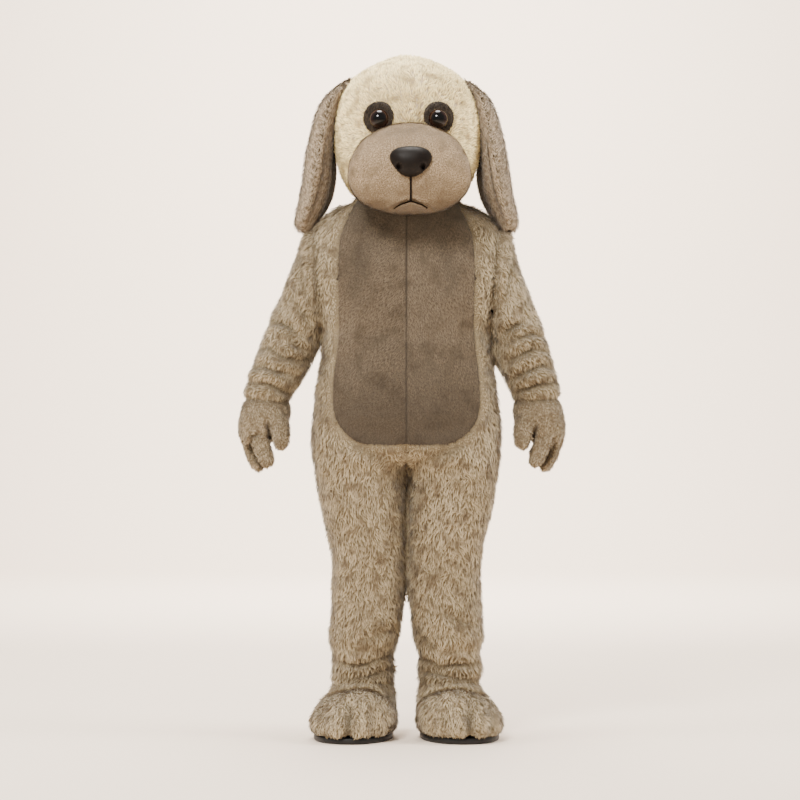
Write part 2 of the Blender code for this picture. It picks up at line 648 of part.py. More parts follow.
def suit_body(groups):
    """Fronts, backs and the two halves of the belly patch let into the fronts."""
    for side, word in ((-1, "right"), (1, "left")):
        front = panel(f"front_{word}", side, True, groups)
        panel(f"back_{word}", side, False, groups)
        belly = as_object(f"belly_{word}", front.data.copy(), groups["part"], "belly_plush")
        inside = prism("patch_inside", patch_outline(-SEAM / 2), -0.40, -0.012, groups["cut"])
        around = prism("patch_around", patch_outline(SEAM / 2), -0.40, -0.012, groups["cut"])
        boolean(belly, inside, "INTERSECT", drop_tool=True)
        boolean(front, around, "DIFFERENCE", drop_tool=True)
        belly.data.materials.clear()
        belly.data.materials.append(material("belly_plush"))


# ---------------------------------------------------------------- sleeves and mitts

def limb_ring(row, side, inset, sides, folds_at=None):
    """A closed ring of a sleeve or mitt, from its body side round by the front."""
    inner = Vector((row.inner_x, 0, row.inner_height))
    outer = Vector((row.outer_x, 0, row.outer_height))
    middle = (inner + outer) / 2
    half = (outer - inner) / 2
    reach = half.length - inset
    depth = row.half_depth - inset
    across = half.normalized()
    ring = []
    for k in range(sides):
        theta = 2 * math.pi * k / sides
        lift = 0.0
        if folds_at is not None:
            around = math.pi - theta
            quiet = min(1.0, abs(math.pi - abs(around)) / 0.8) * min(1.0, folds_at / 0.15)
            quiet *= min(1.0, (1 - folds_at) / 0.04)
            lift = quiet * fold_rise(SLEEVE_FOLDS, side, folds_at, around)
        point = middle - across * (reach + lift) * math.cos(theta)
        point.y = row.middle - (depth + lift) * math.sin(theta)
        point.x *= side
        ring.append(point)
    return ring


def limb_row(table, at, lean):
    """A ring's sizes at a place along a table, leaning out."""
    knots = np.linspace(0.0, 1.0, len(table))
    row = SleeveRing(*(curve(knots, [getattr(r, field) for r in table], at) for field in SleeveRing._fields))
    return row._replace(inner_x=row.inner_x + lean, outer_x=row.outer_x + lean)


def sleeve(side, word, groups):
    """A tube of fur from the armhole to the wrist, gathered in folds."""
    outer = []
    inner = []
    for step in range(SLEEVE_STEPS + 1):
        at = step / SLEEVE_STEPS
        row = limb_row(SLEEVE, at, ARM_LEAN[side] * at**2)
        if step == 0:
            row = row._replace(inner_x=row.inner_x + SEAM, outer_x=row.outer_x + SEAM)
        outer.append(limb_ring(row, side, 0.0, 2 * ARMHOLE.steps, at))
        inner.append(limb_ring(row, side, FUR, 2 * ARMHOLE.steps, at))
    mesh = mesh_of(f"sleeve_{word}", *wall(outer, inner, closed=True))
    as_object(f"sleeve_{word}", mesh, groups["part"], "body_fur")


def rounded_tube(stations, sides):
    """Rings along a finger with round ends; a station is a centre and a radius."""
    centres = [Vector(c) for c, _ in stations]
    radii = [r for _, r in stations]
    first = (centres[1] - centres[0]).normalized()
    last = (centres[-1] - centres[-2]).normalized()
    marks = []
    for turn in (65, 25):
        angle = math.radians(turn)
        marks.append((centres[0] - first * radii[0] * math.sin(angle), radii[0] * math.cos(angle), first))
    for i, centre in enumerate(centres):
        before = centres[max(i - 1, 0)]
        after = centres[min(i + 1, len(centres) - 1)]
        marks.append((centre, radii[i], (after - before).normalized()))
    for turn in (35, 70):
        angle = math.radians(turn)
        marks.append((centres[-1] + last * radii[-1] * math.sin(angle), radii[-1] * math.cos(angle), last))
    rings = []
    for centre, radius, along in marks:
        east = along.cross(Vector((0, 1, 0))).normalized()
        north = along.cross(east)
        turns = [2 * math.pi * k / sides for k in range(sides)]
        rings.append([centre + (east * math.cos(t) + north * math.sin(t)) * radius for t in turns])
    return rings


def mitt_form(side, inset, groups, name):
    """The closed outer form of a mitt, or its hollow when inset."""
    rings = []
    sides = 8 if inset else 12
    for step in range(MITT_STEPS + 1):
        row = limb_row(MITT, step / MITT_STEPS, ARM_LEAN[side])
        shift = 0.004 if step == 0 else FUR * (step == MITT_STEPS)
        if inset:
            row = row._replace(inner_height=row.inner_height + shift, outer_height=row.outer_height + shift)
        rings.append(limb_ring(row, side, inset, sides))
    form = cutter(name, mesh_of(name, *loft(rings)), groups["cut"])
    lean = Vector((ARM_LEAN[side], 0, 0))
    for finger in FINGERS:
        knuckles = (finger.root, finger.knuckle, finger.tip)
        widths = (finger.root_radius, (finger.root_radius + finger.tip_radius) / 2, finger.tip_radius)
        stations = [((Vector(c) + lean) * Vector((side, 1, 1)), w - inset) for c, w in zip(knuckles, widths)]
        rings = rounded_tube(stations, 6 if inset else 8)
        tube = cutter(finger.name, mesh_of(finger.name, *loft(rings)), groups["cut"])
        boolean(form, tube, "UNION", drop_tool=True)
    return form


def mitt(side, word, groups):
    """A hollow paw mitt with a thumb and three fingers, open at the wrist."""
    form = mitt_form(side, 0.0, groups, f"mitt_form_{word}")
    hollow = mitt_form(side, FUR, groups, f"mitt_hollow_{word}")
    piece = as_object(f"mitt_{word}", form.data.copy(), groups["part"], "body_fur")
    boolean(piece, hollow, "DIFFERENCE", drop_tool=True)
    piece.data.materials.clear()
    piece.data.materials.append(material("body_fur"))
    bpy.data.objects.remove(form, do_unlink=True)


# ---------------------------------------------------------------- feet

def foot_ring(row, inset):
    """One level of a foot's cover, egg-shaped, its toes swelling out in front."""
    middle = (row.toe + row.heel) / 2
    length = (row.heel - row.toe) / 2 - inset
    width = row.half_width - inset
    ring = []
    for k in range(FOOT_SIDES):
        angle = 2 * math.pi * k / FOOT_SIDES
        forward = -math.sin(angle)
        narrow = 1 - 0.10 * max(0.0, -forward)
        swell = 0.0
        if forward > 0.2:
            across = math.acos(max(-1.0, min(1.0, math.cos(angle)))) / math.pi
            swell = row.toe_swell * (abs(math.sin(math.pi * TOES * across)) - 0.5) * forward
        x = (width * narrow + swell) * power(math.cos(angle), 0.9)
        y = middle + (length + swell) * power(math.sin(angle), 0.9)
        ring.append(Vector((x, y, row.height)))
    return ring


def turn_foot(ring, side, aside=0.0):
    """Sets a foot's ring beside the middle plane, its toes turned out."""
    turned = Matrix.Rotation(side * FOOT_TURN, 4, "Z")
    return [turned @ p + Vector((side * (FOOT_X + aside), 0, 0)) for p in ring]


def foot(side, word, groups):
    """A fur cover with four toes on a flat sole, open at the ankle."""
    outer = [turn_foot(foot_ring(row, 0.0), side, row.aside) for row in FOOT]
    inner = [turn_foot(foot_ring(row, FUR), side, row.aside) for row in FOOT]
    mesh = mesh_of(f"foot_{word}", *wall(outer, inner, closed=True))
    as_object(f"foot_{word}", mesh, groups["part"], "body_fur")
    outline = foot_ring(FOOT[0]._replace(toe_swell=0.0), 0.003)
    flat = [Vector((p.x, p.y, 0.0)) for p in outline]
    edge = [(0.0, 0.970), (0.003, 1.0), (SOLE, 1.0)]
    rings = [turn_foot([Vector((p.x * s, p.y * s, z)) for p in flat], side) for z, s in edge]
    as_object(f"sole_{word}", mesh_of(f"sole_{word}", *loft(rings)), groups["part"], "sole_rubber")


# ---------------------------------------------------------------- head

def form_of(name, table, sides, group):
    """A closed form through a table of rings."""
    rings = []
    for row in table:
        ring = []
        for k in range(sides):
            angle = 2 * math.pi * k / sides
            x = row.centre + row.width * power(math.cos(angle), 2 / row.squareness)
            y = row.middle + row.depth * power(math.sin(angle), 2 / row.squareness)
            ring.append(Vector((x, y, row.height)))
        rings.append(ring)
    return cutter(name, mesh_of(name, *loft(rings)), group)


def ellipse(centre, half, count):
    """An oval outline in the front view."""
    turns = [2 * math.pi * k / count for k in range(count)]
    return [(centre.x + half.x * math.cos(t), centre.z + half.z * math.sin(t)) for t in turns]


def head_shell(groups, form):
    """The head's front and back, hollow and open at the neck and behind the muzzle."""
    hollow = grown(form_of("hollow", HEAD, HOLLOW_SIDES, groups["cut"]), -SHELL, groups["cut"])
    snout = grown(form_of("snout", MUZZLE, SNOUT_SIDES, groups["cut"]), -SHELL, groups["cut"])
    collar = SUIT[1]
    ring = [2 * math.pi * k / 48 for k in range(48)]
    spare = 2 * SEAM
    oval = [((collar.width + spare) * math.cos(t), (collar.depth + spare) * math.sin(t)) for t in ring]
    rings = [[Vector((x, collar.middle + y, z)) for x, y in oval] for z in (1.46, 1.60)]
    neck = cutter("neck", mesh_of("neck", *loft(rings)), groups["cut"])
    for word, low, high in (("front", -0.5, HEAD_SPLIT - SEAM / 2), ("back", HEAD_SPLIT + SEAM / 2, 0.5)):
        piece = as_object(f"head_{word}", form.data.copy(), groups["part"], "head_fur")
        half = block("head_half", (-0.5, low, 1.3), (0.5, high, 2.1), groups["cut"])
        boolean(piece, hollow, "DIFFERENCE")
        boolean(piece, neck, "DIFFERENCE")
        boolean(piece, half, "INTERSECT", drop_tool=True)
        if word == "front":
            boolean(piece, snout, "DIFFERENCE")
    return snout


def chin_outline(margin):
    """The chin in the front view: below the mouth's two curves."""
    curve = []
    half = MOUTH_HALF + margin
    for step in range(-5, 6):
        drop = MOUTH_DROP * abs(step / 5) ** 1.4
        curve.append((FACE_X + half * step / 5, MOUTH_HEIGHT + margin - drop))
    return [(FACE_X + half, 1.40), (FACE_X - half, 1.40)] + curve


def muzzle_and_chin(groups, form, muzzle, snout):
    """The muzzle bulges from the face; the chin closes it below the mouth."""
    face = grown(form, SEAM, groups["cut"])
    piece = as_object("muzzle", muzzle.data.copy(), groups["part"], "muzzle_plush")
    boolean(piece, snout, "DIFFERENCE")
    boolean(piece, face, "DIFFERENCE")
    chin = as_object("chin", piece.data.copy(), groups["part"], "chin_plush")
    inside = prism("chin_inside", chin_outline(-SEAM / 2), -0.5, 0.0, groups["cut"])
    around = prism("chin_around", chin_outline(SEAM / 2), -0.5, 0.0, groups["cut"])
    boolean(chin, inside, "INTERSECT", drop_tool=True)
    boolean(piece, around, "DIFFERENCE", drop_tool=True)


def ball(name, centre, half, rings, sides, taper=0.0):
    """A closed oval ball, wider at its top when tapered."""
    levels = []
    for r in range(1, rings):
        rise = -math.cos(math.pi * r / rings)
        reach = math.sin(math.pi * r / rings)
        wide = 1 + taper * rise
        turns = [2 * math.pi * k / sides for k in range(sides)]
        levels.append([
            Vector((centre.x + half.x * wide * reach * math.cos(t),
                    centre.y + half.y * reach * math.sin(t),
                    centre.z + half.z * rise))
            for t in turns
        ])
    return mesh_of(name, *loft(levels))


def nose(groups, muzzle):
    """A moulded nose on the muzzle, with two nostrils."""
    seat = grown(muzzle, SEAM, groups["cut"])
    form = ball("nose", NOSE_CENTRE, NOSE_HALF, 9, 16, NOSE_TAPER)
    piece = as_object("nose", form, groups["part"], "nose_plastic")
    boolean(piece, seat, "DIFFERENCE")
    for side in BOTH:
        centre = NOSE_CENTRE + Vector((side * 0.033, -0.036, -0.012))
        hole = ball("nostril", centre, Vector((1.3, 1.0, 0.9)) * NOSTRIL_RADIUS, 6, 10)
        boolean(piece, cutter("nostril", hole, groups["cut"]), "DIFFERENCE", drop_tool=True)


def eyes(groups, form, muzzle):
    """Domed eyes, each on an oval plush patch."""
    under = grown(form, SEAM, groups["cut"])
    over = grown(form, SEAM + PLUSH, groups["cut"])
    seat = grown(form, 2 * SEAM + PLUSH, groups["cut"])
    snout = grown(muzzle, SEAM, groups["cut"])
    for side, word in ((-1, "right"), (1, "left")):
        mirror = Vector((side, 1, 1))
        aside = Vector((FACE_X, 0, 0))
        patch = as_object(f"eye_patch_{word}", over.data.copy(), groups["part"], "eye_patch_plush")
        oval = ellipse(EYE_PATCH * mirror + aside, EYE_PATCH_HALF, 20)
        boolean(patch, prism("oval", oval, -0.5, -0.05, groups["cut"]), "INTERSECT", drop_tool=True)
        boolean(patch, under, "DIFFERENCE")
        boolean(patch, snout, "DIFFERENCE")
        patch.data.materials.clear()
        patch.data.materials.append(material("eye_patch_plush"))
        dome = ball("eye", EYE * mirror + aside, Vector((1, 1, 1)) * EYE_RADIUS, 8, 12)
        eye = as_object(f"eye_{word}", dome, groups["part"], "eye_plastic")
        boolean(eye, seat, "DIFFERENCE")
        boolean(eye, snout, "DIFFERENCE")


def ears(groups, form):
    """Two hanging ears, each padded between an outer and an inner face."""
    seat = grown(form, SEAM, groups["cut"])
    for side, word in ((-1, "right"), (1, "left")):
        for face, facing in (("outer", 1), ("inner", -1)):
            rings = []
            for row in EAR:
                turn = math.radians(row.turn)
                forward = Vector((math.sin(turn), -math.cos(turn), 0))
                outward = Vector((math.cos(turn), math.sin(turn), 0))
                ring = []
                for k in range(EAR_SIDES + 1):
                    angle = math.pi * k / EAR_SIDES
                    bulge = row.half_thick * math.sin(angle) ** 0.7 + SEAM / 2
                    point = Vector((row.out, row.middle, row.height))
                    point += forward * row.half_width * math.cos(angle)
                    point += outward * facing * bulge
                    ring.append(point * Vector((side, 1, 1)))
                rings.append(ring)
            name = f"ear_{face}_{word}"
            piece = as_object(name, mesh_of(name, *loft(rings)), groups["part"], "ear_fur")
            boolean(piece, seat, "DIFFERENCE")


def head(groups):
    """All that the head is made of."""
    form = form_of("head_form", HEAD, HEAD_SIDES, groups["cut"])
    muzzle = form_of("muzzle_form", MUZZLE, MUZZLE_SIDES, groups["cut"])
    snout = head_shell(groups, form)
    muzzle_and_chin(groups, form, muzzle, snout)
    nose(groups, muzzle)
    eyes(groups, form, muzzle)
    ears(groups, form)


# ---------------------------------------------------------------- zip

def back_face(height, x, sunk):
    """A point of the back's surface near the centre, sunk into the fur."""
    angle = -angle_at_x(height, abs(x))
    point, normal = surface(1, height, angle)
    point -= normal * sunk
    return Vector((x, point.y, point.z))


def zip_fastener(groups):
    """The back zip: its tape, its slider and the slider's hinged pull."""
    heights = [h for h in suit_heights() if ZIP_BOTTOM <= h <= ZIP_TOP]
    half = ZIP_HALF - SEAM / 2
    lines = (-half, half)
    outer = [[back_face(h, x, ZIP_SUNK) for x in lines] for h in heights]
    inner = [[back_face(h, x, ZIP_SUNK + ZIP_TAPE) for x in lines] for h in heights]
    mesh = mesh_of("zip_tape", *wall(outer, inner, closed=False))
    as_object("zip_tape", mesh, groups["part"], "zip_tape")

    lowest = max(back_face(h, 0.0, ZIP_SUNK).y for h in (SLIDER_HEIGHT - 0.012, SLIDER_HEIGHT + 0.012))
    base = lowest + 2 * SEAM
    body = block("slider_block", (-SLIDER.x / 2, base, SLIDER_HEIGHT - SLIDER.z / 2),
                 (SLIDER.x / 2, base + SLIDER.y, SLIDER_HEIGHT + SLIDER.z / 2), groups["cut"])
    slider = as_object("zip_slider", body.data.copy(), groups["part"], "zip_metal")
    bpy.data.objects.remove(body, do_unlink=True)
    pin = Vector((0.0, base + SLIDER.y - PIN - 0.0004, SLIDER_HEIGHT - SLIDER.z / 2))
    slot = block("slot", (-PULL.x / 2 - SEAM, pin.y - PIN - SEAM, pin.z - 0.01),
                 (PULL.x / 2 + SEAM, base + 0.02, pin.z + PIN + 0.0026), groups["cut"])
    boolean(slider, slot, "DIFFERENCE", drop_tool=True)
    turns = [2 * math.pi * k / 12 for k in range(12)]
    rings = [[Vector((x, pin.y + PIN * math.cos(t), pin.z + 0.0018 + PIN * math.sin(t))) for t in turns]
             for x in (-PULL.x / 2, PULL.x / 2)]
    barrel = cutter("barrel", mesh_of("barrel", *loft(rings)), groups["cut"])
    hinge_z = pin.z + 0.0018
    plate = block("plate", (-PULL.x / 2, pin.y - PULL.y / 2, hinge_z - PULL.z),
                  (PULL.x / 2, pin.y + PULL.y / 2, hinge_z), groups["cut"])
    boolean(plate, barrel, "UNION", drop_tool=True)
    as_object("zip_pull", plate.data.copy(), groups["part"], "zip_metal")
    bpy.data.objects.remove(plate, do_unlink=True)


def build():
    """The whole costume."""
    clear()
    groups = {"part": collection("dog_mascot_costume"), "cut": collection("cutters", hidden=True)}
    suit_body(groups)
    for side, word in ((-1, "right"), (1, "left")):
        sleeve(side, word, groups)
        mitt(side, word, groups)
        foot(side, word, groups)
    head(groups)
    zip_fastener(groups)


build()
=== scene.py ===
import math
from collections import namedtuple

import bmesh
import bpy
import numpy as np
from mathutils import Matrix, Vector, noise
from mathutils.bvhtree import BVHTree
from mathutils.kdtree import KDTree


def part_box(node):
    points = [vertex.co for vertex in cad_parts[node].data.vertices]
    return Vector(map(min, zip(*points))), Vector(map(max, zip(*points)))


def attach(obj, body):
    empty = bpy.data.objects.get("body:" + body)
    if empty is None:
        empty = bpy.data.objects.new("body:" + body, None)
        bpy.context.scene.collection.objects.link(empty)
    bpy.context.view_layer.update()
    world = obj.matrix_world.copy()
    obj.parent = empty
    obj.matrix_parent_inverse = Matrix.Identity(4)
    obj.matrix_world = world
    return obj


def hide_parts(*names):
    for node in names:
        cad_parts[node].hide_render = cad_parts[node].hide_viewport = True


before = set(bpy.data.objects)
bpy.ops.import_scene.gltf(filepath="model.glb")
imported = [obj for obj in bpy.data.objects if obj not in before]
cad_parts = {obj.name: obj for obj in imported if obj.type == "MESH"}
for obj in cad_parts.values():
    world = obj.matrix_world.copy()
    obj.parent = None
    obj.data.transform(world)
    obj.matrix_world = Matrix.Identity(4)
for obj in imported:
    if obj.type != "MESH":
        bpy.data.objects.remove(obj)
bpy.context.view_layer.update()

SHOULDER = 1.43  # from the floor to the origin
FLOOR = -SHOULDER
PAPER_HALF = 14.0
PAPER_FRONT = -12.0
SWEEP_START = 8.0  # where the floor begins to turn up into the wall
SWEEP_RADIUS = 2.4
SWEEP_STEPS = 12
WALL_TOP = 9.0
CAMERA_AWAY = 7.0
CAMERA_HEIGHT = 0.85


def new_material(name, **settings):
    """A new material, its own shader with these settings, and its node tree."""
    material = bpy.data.materials.new(name)
    material.use_nodes = True
    shader = material.node_tree.nodes["Principled BSDF"]
    for socket, value in settings.items():
        shader.inputs[socket.replace("_", " ")].default_value = value
    return material, shader, material.node_tree


def plain_mesh(name, points, faces=(), edges=()):
    """A new mesh from its points and their faces or edges."""
    mesh = bpy.data.meshes.new(name)
    mesh.from_pydata(points, edges, faces)
    return mesh


def new_object(name, mesh):
    """Links a mesh, a lamp or a camera as an object at the origin."""
    made = bpy.data.objects.new(name, mesh)
    bpy.context.scene.collection.objects.link(made)
    return made


def build_room():
    """The paper sweep, the air, the lamps and the camera."""
    depth = [(PAPER_FRONT, FLOOR), (SWEEP_START, FLOOR)]
    for step in range(1, SWEEP_STEPS + 1):
        turn = math.pi / 2 * step / SWEEP_STEPS
        back = SWEEP_START + SWEEP_RADIUS * math.sin(turn)
        depth.append((back, FLOOR + SWEEP_RADIUS * (1 - math.cos(turn))))
    depth.append((SWEEP_START + SWEEP_RADIUS, WALL_TOP))
    points = [(x, y, z) for y, z in depth for x in (-PAPER_HALF, PAPER_HALF)]
    faces = [(2 * i, 2 * i + 1, 2 * i + 3, 2 * i + 2) for i in range(len(depth) - 1)]
    mesh = plain_mesh("studio_floor", points, faces)
    mesh.shade_smooth()
    floor = new_object("studio_floor", mesh)
    paper = new_material("studio_paper", Base_Color=(0.92, 0.787, 0.655, 1), Roughness=0.75)[0]
    mesh.materials.append(paper)

    world = bpy.data.worlds.new("studio_air")
    world.use_nodes = True
    air = world.node_tree.nodes["Background"].inputs
    air["Color"].default_value = (1.0, 0.965, 0.93, 1)
    air["Strength"].default_value = 0.62
    bpy.context.scene.world = world

    lamps = (  # name, place, what it is aimed at, size, power
        ("key", (-1.3, -3.4, 2.5), (0, 0, 0.0), 1.3, 310),
        ("side_right", (-3.2, -0.6, 0.9), (0, 0, -0.3), 1.5, 115),
        ("side_left", (3.2, -0.6, 0.9), (0, 0, -0.3), 1.5, 155),
        ("top", (0.0, 0.3, 3.2), (0, 0, 0), 1.8, 185),
        ("wall", (0.0, 5.0, 3.6), (0, 10.4, 1.2), 3.0, 1150),
        ("wall_low", (0.0, 3.4, 3.0), (0, 7.0, -1.3), 3.0, 560),
    )
    for name, place, aim, size, power in lamps:
        light = bpy.data.lights.new(f"studio_{name}", "AREA")
        light.shape = "DISK"
        light.size = size
        light.energy = power
        light.color = (1.0, 0.965, 0.92)
        lamp = new_object(f"studio_{name}", light)
        lamp.location = place
        lamp.visible_camera = False
        lamp.visible_glossy = not name.startswith("side")
        lamp.rotation_euler = (Vector(aim) - Vector(place)).to_track_quat("-Z", "Y").to_euler()

    lens = bpy.data.cameras.new("studio_camera")
    lens.lens = 112.8
    lens.sensor_width = 36.0
    lens.shift_x = -0.0081
    lens.shift_y = 0.0388
    camera = new_object("studio_camera", lens)
    camera.location = (0.0, -CAMERA_AWAY, FLOOR + CAMERA_HEIGHT)
    camera.rotation_euler = (math.radians(90), 0, 0)
    bpy.context.scene.camera = camera


build_room()

# The suit's fronts and backs: long-pile fur cloth, cut as two fronts and two backs from the
# collar to the ankle and sewn at the sides, the insides of the legs and down the middle. Each
# is a thin backing that lies under the tips of its pile, with the pile's tufts set into it.
Fur = namedtuple("Fur", "root middle tip patch patch_size")
BODY_FUR = Fur(
    (0.115, 0.082, 0.047), (0.28, 0.215, 0.124), (0.51, 0.420, 0.272), (0.150, 0.108, 0.062), 0.030
)
BACKING = 0.0022  # thickness of the woven back of the fur cloth
TUFT_CORNERS = 7  # corners of one tuft's two faces

CROTCH = 0.765  # height where the legs part
CROTCH_SEAM = -0.670  # level of the seam between the legs, from the origin
SEAM_GAP = 0.0015  # pieces nearer than this are sewn together
CREVICE = 0.022  # limbs that rest side by side are no further apart than this
WELD = 0.00002  # corners nearer than this are one corner
OFF_THE_FACE = 0.0001  # a ray starts this far from the face that it leaves
OVER_THE_FACE = 0.0012  # a look at the sky starts this far above the face
SKY_RAYS = 28
RAYS_TO_AIR = 2  # a face that sees the air along this many rays is an outer one
FAR = 9.0  # further than any place on the costume


def limb(node, height):
    """The part of the costume that a node belongs to, for telling a crevice from a hollow."""
    side = node.rsplit("_", 1)[-1]
    if node.startswith(("sleeve", "mitt")):
        return f"arm {side}"
    if node.startswith("ear"):
        return f"ear {side}"
    if node.startswith(("front", "back", "foot", "sole")):
        return f"leg {side}" if height < CROTCH else "body"
    return "body" if node.startswith(("belly", "zip")) else "head"


solid_points = []
solid_faces = []
face_nodes = []
for node_name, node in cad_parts.items():
    first = len(solid_points)
    solid_points += [v.co.copy() for v in node.data.vertices]
    solid_faces += [[first + i for i in p.vertices] for p in node.data.polygons]
    face_nodes += [node_name] * len(node.data.polygons)
every_solid = BVHTree.FromPolygons(solid_points, solid_faces)

golden = math.pi * (3 - math.sqrt(5))
sky = []
for i in range(SKY_RAYS):
    lift = (i + 0.5) / SKY_RAYS
    turn = golden * i
    flat = math.sqrt(1 - lift * lift)
    sky.append(Vector((flat * math.cos(turn), flat * math.sin(turn), lift)))


def sees_air(face):
    """Whether a face looks out of the costume, not into its hollow or into a seam."""
    turned = face.normal.to_track_quat("Z", "Y")
    middle = face.calc_center_median()
    start = middle + face.normal * OVER_THE_FACE
    seen = 0
    for direction in sky:
        if every_solid.ray_cast(start, turned @ direction)[0] is None:
            seen += 1
            if seen == RAYS_TO_AIR:
                return True
    hit, _, index, gap = every_solid.ray_cast(middle + face.normal * OFF_THE_FACE, face.normal)
    if hit is None or not SEAM_GAP < gap < CREVICE:
        return False
    behind = every_solid.ray_cast(middle - face.normal * 2 * OFF_THE_FACE, -face.normal)
    own = face_nodes[behind[2]]
    return limb(own, middle.z + SHOULDER) != limb(face_nodes[index], hit.z + SHOULDER)


def opened(mesh):
    """A mesh opened for changes to its faces."""
    work = bmesh.new()
    work.from_mesh(mesh)
    return work


def write_back(work, mesh):
    """Keeps the changes made to an opened mesh."""
    work.to_mesh(mesh)
    work.free()
    mesh.update()


def evaluated_mesh(item):
    """What an object's modifiers make of it, as a plain mesh."""
    shown = item.evaluated_get(bpy.context.evaluated_depsgraph_get())
    return bpy.data.meshes.new_from_object(shown)


def bake_modifiers(item):
    """Keeps an object's modifiers as its mesh."""
    mesh = evaluated_mesh(item)
    item.modifiers.clear()
    old = item.data
    item.data = mesh
    bpy.data.meshes.remove(old)
    return item


def outer_face(name, nodes, keep, levels):
    """The outside of some solids as one smooth open sheet."""
    work = bmesh.new()
    for node in nodes:
        work.from_mesh(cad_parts[node].data)
    bmesh.ops.remove_doubles(work, verts=work.verts, dist=WELD)
    work.normal_update()
    bmesh.ops.delete(work, geom=[f for f in work.faces if not keep(f)], context="FACES")
    bmesh.ops.join_triangles(
        work, faces=work.faces, angle_face_threshold=math.radians(38),
        angle_shape_threshold=math.radians(50),
    )
    mesh = bpy.data.meshes.new(name)
    write_back(work, mesh)
    sheet = new_object(name, mesh)
    smoother = sheet.modifiers.new("smooth", "SUBSURF")
    smoother.levels = levels
    smoother.render_levels = levels
    smoother.boundary_smooth = "PRESERVE_CORNERS"
    return bake_modifiers(sheet)


def places_and_normals(mesh):
    """Each point's place and the way it faces, as two arrays."""
    places = np.zeros(len(mesh.vertices) * 3)
    normals = np.zeros(len(mesh.vertices) * 3)
    mesh.vertices.foreach_get("co", places)
    mesh.vertices.foreach_get("normal", normals)
    return places.reshape(-1, 3), normals.reshape(-1, 3)


def move_out(mesh, places, normals, out):
    """Moves each point out from where it is, by its own amount."""
    mesh.vertices.foreach_set("co", (places + normals * out[:, None]).ravel())
    mesh.update()


def press(mesh, amount):
    """Stores how dark the pile is at each point, 0 to 1, where that is more: painted shade, and the dark
    roots at creases and seams.
    """
    stored = mesh.attributes.get("pressed") or mesh.attributes.new("pressed", "FLOAT", "POINT")
    before = np.zeros(len(mesh.vertices))
    stored.data.foreach_get("value", before)
    stored.data.foreach_set("value", np.maximum(before, amount))


Crease = namedtuple("Crease", "facing width depth path")
FACING_SLOPE = 1.6  # how fast a crease fades where the cloth turns away
FACING_START = 0.25
FADE_POWER = 0.6  # how full a crease stays towards its ends
SWELL_SHARE = 0.50  # how far the cloth rises beside a crease, as a share of its depth
# Painted shade in creases, where the parted pile's dark roots also show, is at most this dark.
DARKEST_CREASE_SHADE = 0.8
FULL_SHADE_DEPTH = 0.012  # a crease this deep gets its darkest painted shade


def near_path(flat, path):
    """Each point's distance from a path, and how far along it the nearest place is."""
    nearest = np.full(len(flat), FAR)
    along = np.zeros(len(flat))
    lengths = np.linalg.norm(np.diff(path, axis=0), axis=1)
    gone = np.concatenate([[0], np.cumsum(lengths)])
    for i, length in enumerate(lengths):
        way = (path[i + 1] - path[i]) / length
        share = np.clip((flat - path[i]) @ way, 0, length)
        gap = np.linalg.norm(flat - path[i] - share[:, None] * way, axis=1)
        better = gap < nearest
        nearest[better] = gap[better]
        along[better] = (gone[i] + share[better]) / gone[-1]
    return nearest, along


def crease_shape(places, normals, creases):
    """How far listed creases press the cloth in, and how dark the painted shade in them is.

    Each path is a list of (x, height) as seen from in front.
    """
    total = np.zeros(len(places))
    closed = np.zeros(len(places))
    flat = places[:, [0, 2]] + np.array([0.0, SHOULDER])
    for crease in creases:
        facing = np.clip(normals[:, 1] * crease.facing * FACING_SLOPE + FACING_START, 0, 1)
        nearest, along = near_path(flat, np.array(crease.path, float))
        fade = facing * np.clip(np.sin(np.pi * np.clip(along, 0.0, 1.0)), 0, 1) ** FADE_POWER
        dip = fade * np.exp(-((nearest / crease.width) ** 2))
        rise = fade * np.exp(-(((nearest - 2.0 * crease.width) / crease.width) ** 2))
        total += crease.depth * (SWELL_SHARE * rise - dip)
        # painted shade in the crease, with the parted pile's dark roots
        closed = np.maximum(closed, dip * min(DARKEST_CREASE_SHADE, crease.depth / FULL_SHADE_DEPTH))
    return total, closed


Bulge = namedtuple("Bulge", "place reach out")


def swell(mesh, bulges):
    """Rounds a sheet out where the padding or the fold under it fills it."""
    places, normals = places_and_normals(mesh)
    out = np.zeros(len(places))
    for bulge in bulges:
        far = np.linalg.norm((places - bulge.place) / bulge.reach, axis=1)
        out += bulge.out * np.exp(-(far**2))
    move_out(mesh, places, normals, out)


def paint_shade(mesh, amount):
    """Paints shade into a sheet's pile, by where each point is and how it faces."""
    press(mesh, amount(*places_and_normals(mesh)))


def seam_dip(mesh, width):
    """How near each point is to a seam, from 0 to 1 at the sheet's open edge."""
    work = opened(mesh)
    edge = [v.co.copy() for v in work.verts if v.is_boundary]
    work.free()
    tree = KDTree(max(1, len(edge)))
    for i, place in enumerate(edge):
        tree.insert(place, i)
    tree.balance()
    gaps = np.array([tree.find(v.co)[2] if edge else FAR for v in mesh.vertices])
    return np.exp(-((gaps / width) ** 2))


# A seam's width, how deep it draws in, and how dark the pile is along it: dark roots where it parts, and
# painted shade in its groove.
Seam = namedtuple("Seam", "width depth dark")
FUR_SEAM = Seam(0.010, 0.003, 0.45)


def lay(mesh, sink, creases=(), seam=FUR_SEAM, ripple=0.0015, ripple_size=0.05):
    """Moves a sheet in under the tips of its pile, and lays its creases and seams."""
    places, normals = places_and_normals(mesh)
    pressed, closed = crease_shape(places, normals, creases)
    at_seam = seam_dip(mesh, seam.width)
    uneven = np.array([noise.noise(Vector(p) / ripple_size) for p in places])
    move_out(mesh, places, normals, pressed + ripple * uneven - sink - seam.depth * at_seam)
    # Painted shade in the creases; along the seams, dark roots and painted shade in the groove.
    press(mesh, np.maximum(closed, seam.dark * at_seam))


PRESSED_SHORTER = 0.6  # how much shorter fully pressed pile stands


